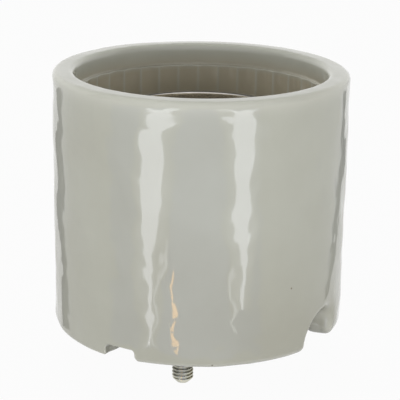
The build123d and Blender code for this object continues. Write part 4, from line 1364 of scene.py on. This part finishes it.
def tent_panel(camera, name, rows, profile, reach, material):
    """Panel that the wall shows. Its profile gives places across it, as a share, a shift and a brightness."""
    pixels = [(left + (right - left) * share + shift, height)
              for height, left, right in rows for share, shift, _ in profile]
    points = [mirrored(camera, pixel, reach) for pixel in pixels]
    reflected_panel(name, points, [brightness for _, _, brightness in profile] * len(rows), len(profile), material)


def reflected_panel(name, points, brightness, wide, material):
    """Panel seen in reflections only, from rows of so many points and their brightness."""
    faces = [(start, start + 1, start + wide + 1, start + wide)
             for start in range(len(points) - wide) if (start + 1) % wide]
    mesh = bpy.data.meshes.new(name)
    mesh.from_pydata(points, [], faces)
    glow = mesh.attributes.new("glow", "FLOAT", "POINT")
    glow.data.foreach_set("value", brightness)
    mesh.materials.append(material)
    panel = placed(name, mesh)
    for kind in ("camera", "diffuse", "transmission", "volume_scatter", "shadow"):
        setattr(panel, f"visible_{kind}", False)


def shown_rays(tree):
    """Socket that is 1 for rays that look at the backdrop: from the camera, off a mirror or through glass."""
    rays = add(tree, "ShaderNodeLightPath").outputs
    seen = add(tree, "ShaderNodeMath", {0: rays["Is Camera Ray"], 1: rays["Is Glossy Ray"]}, operation="ADD")
    through = {0: seen, 1: rays["Is Transmission Ray"]}
    return add(tree, "ShaderNodeMath", through, operation="ADD", use_clamp=True).outputs[0], rays["Is Camera Ray"]


def set_camera(stage, middle, back):
    """Camera that looks at the middle from behind, rolled and framed as the picture."""
    lens = bpy.data.cameras.new("camera")
    lens.sensor_width = SENSOR_WIDTH
    lens.lens = FOCAL_PIXELS * SENSOR_WIDTH / PICTURE
    lens.shift_x = (PICTURE / 2 - CENTRE_PIXEL[0]) / PICTURE
    lens.shift_y = -(PICTURE / 2 - CENTRE_PIXEL[1]) / PICTURE
    lens.clip_start, lens.clip_end = 0.01, 10.0
    camera = placed("camera", lens)
    aim = (-back).to_track_quat("-Z", "Y").to_matrix() @ Matrix.Rotation(stage.roll, 3, "Z")
    camera.matrix_world = Matrix.Translation(middle + back * stage.distance) @ aim.to_4x4()
    bpy.context.scene.camera = camera
    bpy.context.view_layer.update()
    return camera


def set_floor():
    """Floor that looks plain white and still takes the shadow."""
    mesh = bpy.data.meshes.new("floor")
    corners = ((-1, -1), (1, -1), (1, 1), (-1, 1))
    mesh.from_pydata([(x * FLOOR_HALF, y * FLOOR_HALF, CAD_BOX[0].z) for x, y in corners], [], [(0, 1, 2, 3)])
    paper = bpy.data.materials.new("white_paper")
    tree = emptied_tree(paper)
    seen, _ = shown_rays(tree)
    share = add(tree, "ShaderNodeMath", {0: seen, 1: FLOOR_GLOW}, operation="MULTIPLY")
    matt = add(tree, "ShaderNodeBsdfDiffuse", {"Color": linear("#969694")})
    glow = add(tree, "ShaderNodeEmission", {"Color": linear("#FFFFFF"), "Strength": 1.0})
    both = add(tree, "ShaderNodeMixShader", {0: share, 1: matt, 2: glow})
    add(tree, "ShaderNodeOutputMaterial", {"Surface": both})
    mesh.materials.append(paper)
    floor = placed("floor", mesh)


def set_room(stage):
    """White room that the camera sees plain, with a ceiling darker than its walls, so the mouth stays in shade."""
    world = bpy.data.worlds.new("room")
    bpy.context.scene.world = world
    tree = emptied_tree(world)
    seen, seen_by_camera = shown_rays(tree)
    height = add(tree, "ShaderNodeSeparateXYZ", {0: add(tree, "ShaderNodeTexCoord")}).outputs[2]
    darkened = {"Value": height, "From Min": 0.35, "From Max": 0.8, "To Min": 1.0, "To Max": 0.1}
    ceiling = add(tree, "ShaderNodeMapRange", darkened, interpolation_type="SMOOTHSTEP")
    level = add(tree, "ShaderNodeMapRange", {"Value": seen, "To Min": stage.fill, "To Max": 1.0})
    shaded = add(tree, "ShaderNodeMath", {0: level, 1: ceiling}, operation="MULTIPLY")
    plain = add(tree, "ShaderNodeMath", {0: shaded, 1: seen_by_camera}, operation="MAXIMUM")
    room = add(tree, "ShaderNodeBackground", {"Color": linear("#FFFFFF"), "Strength": plain})
    add(tree, "ShaderNodeOutputWorld", {"Surface": room})


def set_softboxes(stage, middle, left, front):
    """Soft lamps round the holder, which reflections don't show."""
    for side, (leftward, forward, up, wide, tall) in SOFTBOXES.items():
        light = bpy.data.lights.new(f"{side}_softbox", "AREA")
        light.shape = "RECTANGLE"
        light.size, light.size_y = wide, tall
        light.energy = getattr(stage, side)
        lamp = placed(light.name, light)
        place = left * leftward + front * forward + Vector((0.0, 0.0, up))
        lamp.location = place
        lamp.rotation_mode = "QUATERNION"
        lamp.rotation_quaternion = (middle - place).to_track_quat("-Z", "Y")
        lamp.visible_glossy = False


def set_dome(left, front, material):
    """Half dome in front, over the sky panel, which is what the rolled edge of the rim shows."""
    points, brightness = [], []
    for climb, strength in FRONT_DOME:
        climb = math.radians(climb)
        rise = Vector((0.0, 0.0, BODY_HIGH.z + DOME_RADIUS * math.sin(climb)))
        for step in range(DOME_COLUMNS):
            sweep = math.pi * (step / (DOME_COLUMNS - 1) - 0.5)
            level = front * math.cos(sweep) - left * math.sin(sweep)
            points.append(level * DOME_RADIUS * math.cos(climb) + rise)
            brightness.append(strength * math.cos(sweep))
    reflected_panel("front_dome", points, brightness, DOME_COLUMNS, material)


def set_tent(stage, camera, left, front):
    """Panels of the light tent, which only reflections show."""
    white, blue = glowing("white_panel", "#F4F6FF"), glowing("blue_panel", "#CBD5FF")
    warm = glowing("warm_lamp", "#FFC98B")
    window, line = fringed(stage.window, WINDOW_FRINGE), fringed(LINE_SHARE * stage.window, LINE_FRINGE)
    sky = [(step / 10, 0, 1.0 + 0.5 * math.sin(math.pi * step / 10)) for step in range(11)]
    for name, rows, profile, reach, material in (
        ("left_window", LEFT_WINDOW, window, WINDOW_REACH, white),
        ("right_window", RIGHT_WINDOW, window, WINDOW_REACH, white),
        ("left_line", LEFT_LINE, line, LINE_REACH, white), ("right_line", RIGHT_LINE, line, LINE_REACH, white),
        ("front_sky", FRONT_SKY, sky, SKY_REACH, blue),
    ):
        tent_panel(camera, name, rows, profile, reach, material)
    set_dome(left, front, white)
    for number, rows in enumerate(WARM_LAMP):
        tent_panel(camera, f"warm_lamp_{number}", rows, fringed(LAMP_SHARE * stage.window), LAMP_REACH, warm)
    for side, rows, way in (("left", LEFT_SHADE, 1), ("right", RIGHT_SHADE, -1)):
        shade = ((0, 0, SHADE_LEVEL), (1, 0, SHADE_LEVEL), (1, way * SHADE_FADE, 1.0))
        tent_panel(camera, f"{side}_shade", rows, shade, WINDOW_REACH, white)


class HOLDER_OT_stage(bpy.types.Operator):
    """Set up the camera, floor and lights"""

    bl_idname = "holder.stage"
    bl_label = "Stage"

    def execute(self, context):
        stage = group_of("holder_stage")
        context.scene.view_settings.view_transform = "Standard"
        middle = Vector((0.0, 0.0, BODY_HIGH.z / 2))
        turn, lift = stage.azimuth, stage.elevation
        back = Vector((math.sin(turn) * math.cos(lift), -math.cos(turn) * math.cos(lift), math.sin(lift)))
        left = Vector((-math.cos(turn), -math.sin(turn), 0.0))
        front = Vector((math.sin(turn), -math.cos(turn), 0.0))
        camera = set_camera(stage, middle, back)
        set_floor()
        set_room(stage)
        set_softboxes(stage, middle, left, front)
        set_tent(stage, camera, left, front)
        return {"FINISHED"}


class HOLDER_PT_panel(bpy.types.Panel):
    """Sidebar panel that lists the holder's pieces"""

    bl_idname = "HOLDER_PT_panel"
    bl_label = "Porcelain lamp holder"
    bl_space_type = "VIEW_3D"
    bl_region_type = "UI"
    bl_category = "Lamp holder"

    def draw(self, context):
        for operator in OPERATORS:
            self.layout.operator(operator.bl_idname)
        for name, kind in GROUPS.items():
            for field in kind.__annotations__:
                self.layout.prop(group_of(name), field)


OPERATORS = (
    HOLDER_OT_porcelain_body, HOLDER_OT_screw_shell, HOLDER_OT_shell_rivets, HOLDER_OT_mounting_studs,
    HOLDER_OT_wire_clamps, HOLDER_OT_centre_contact, HOLDER_OT_stage,
)
GROUPS = {
    "holder_porcelain": PorcelainSizes, "holder_metal": MetalSizes, "holder_colours": FinishColours,
    "holder_stage": StageSettings,
}
CLASSES = (*GROUPS.values(), *OPERATORS, HOLDER_PT_panel)


def register():
    """Registers the classes and hangs the property groups on the scene."""
    for kind in CLASSES:
        bpy.utils.register_class(kind)
    for name, kind in GROUPS.items():
        setattr(bpy.types.Scene, name, PointerProperty(type=kind))


def unregister():
    """Takes the property groups and classes away again."""
    for name in GROUPS:
        delattr(bpy.types.Scene, name)
    for kind in reversed(CLASSES):
        bpy.utils.unregister_class(kind)


def main():
    """Builds every piece and the stage."""
    register()
    bpy.ops.holder.porcelain_body()
    bpy.ops.holder.screw_shell()
    bpy.ops.holder.shell_rivets()
    bpy.ops.holder.mounting_studs()
    bpy.ops.holder.wire_clamps()
    bpy.ops.holder.centre_contact()
    bpy.ops.holder.stage()


if __name__ == "__main__":
    main()
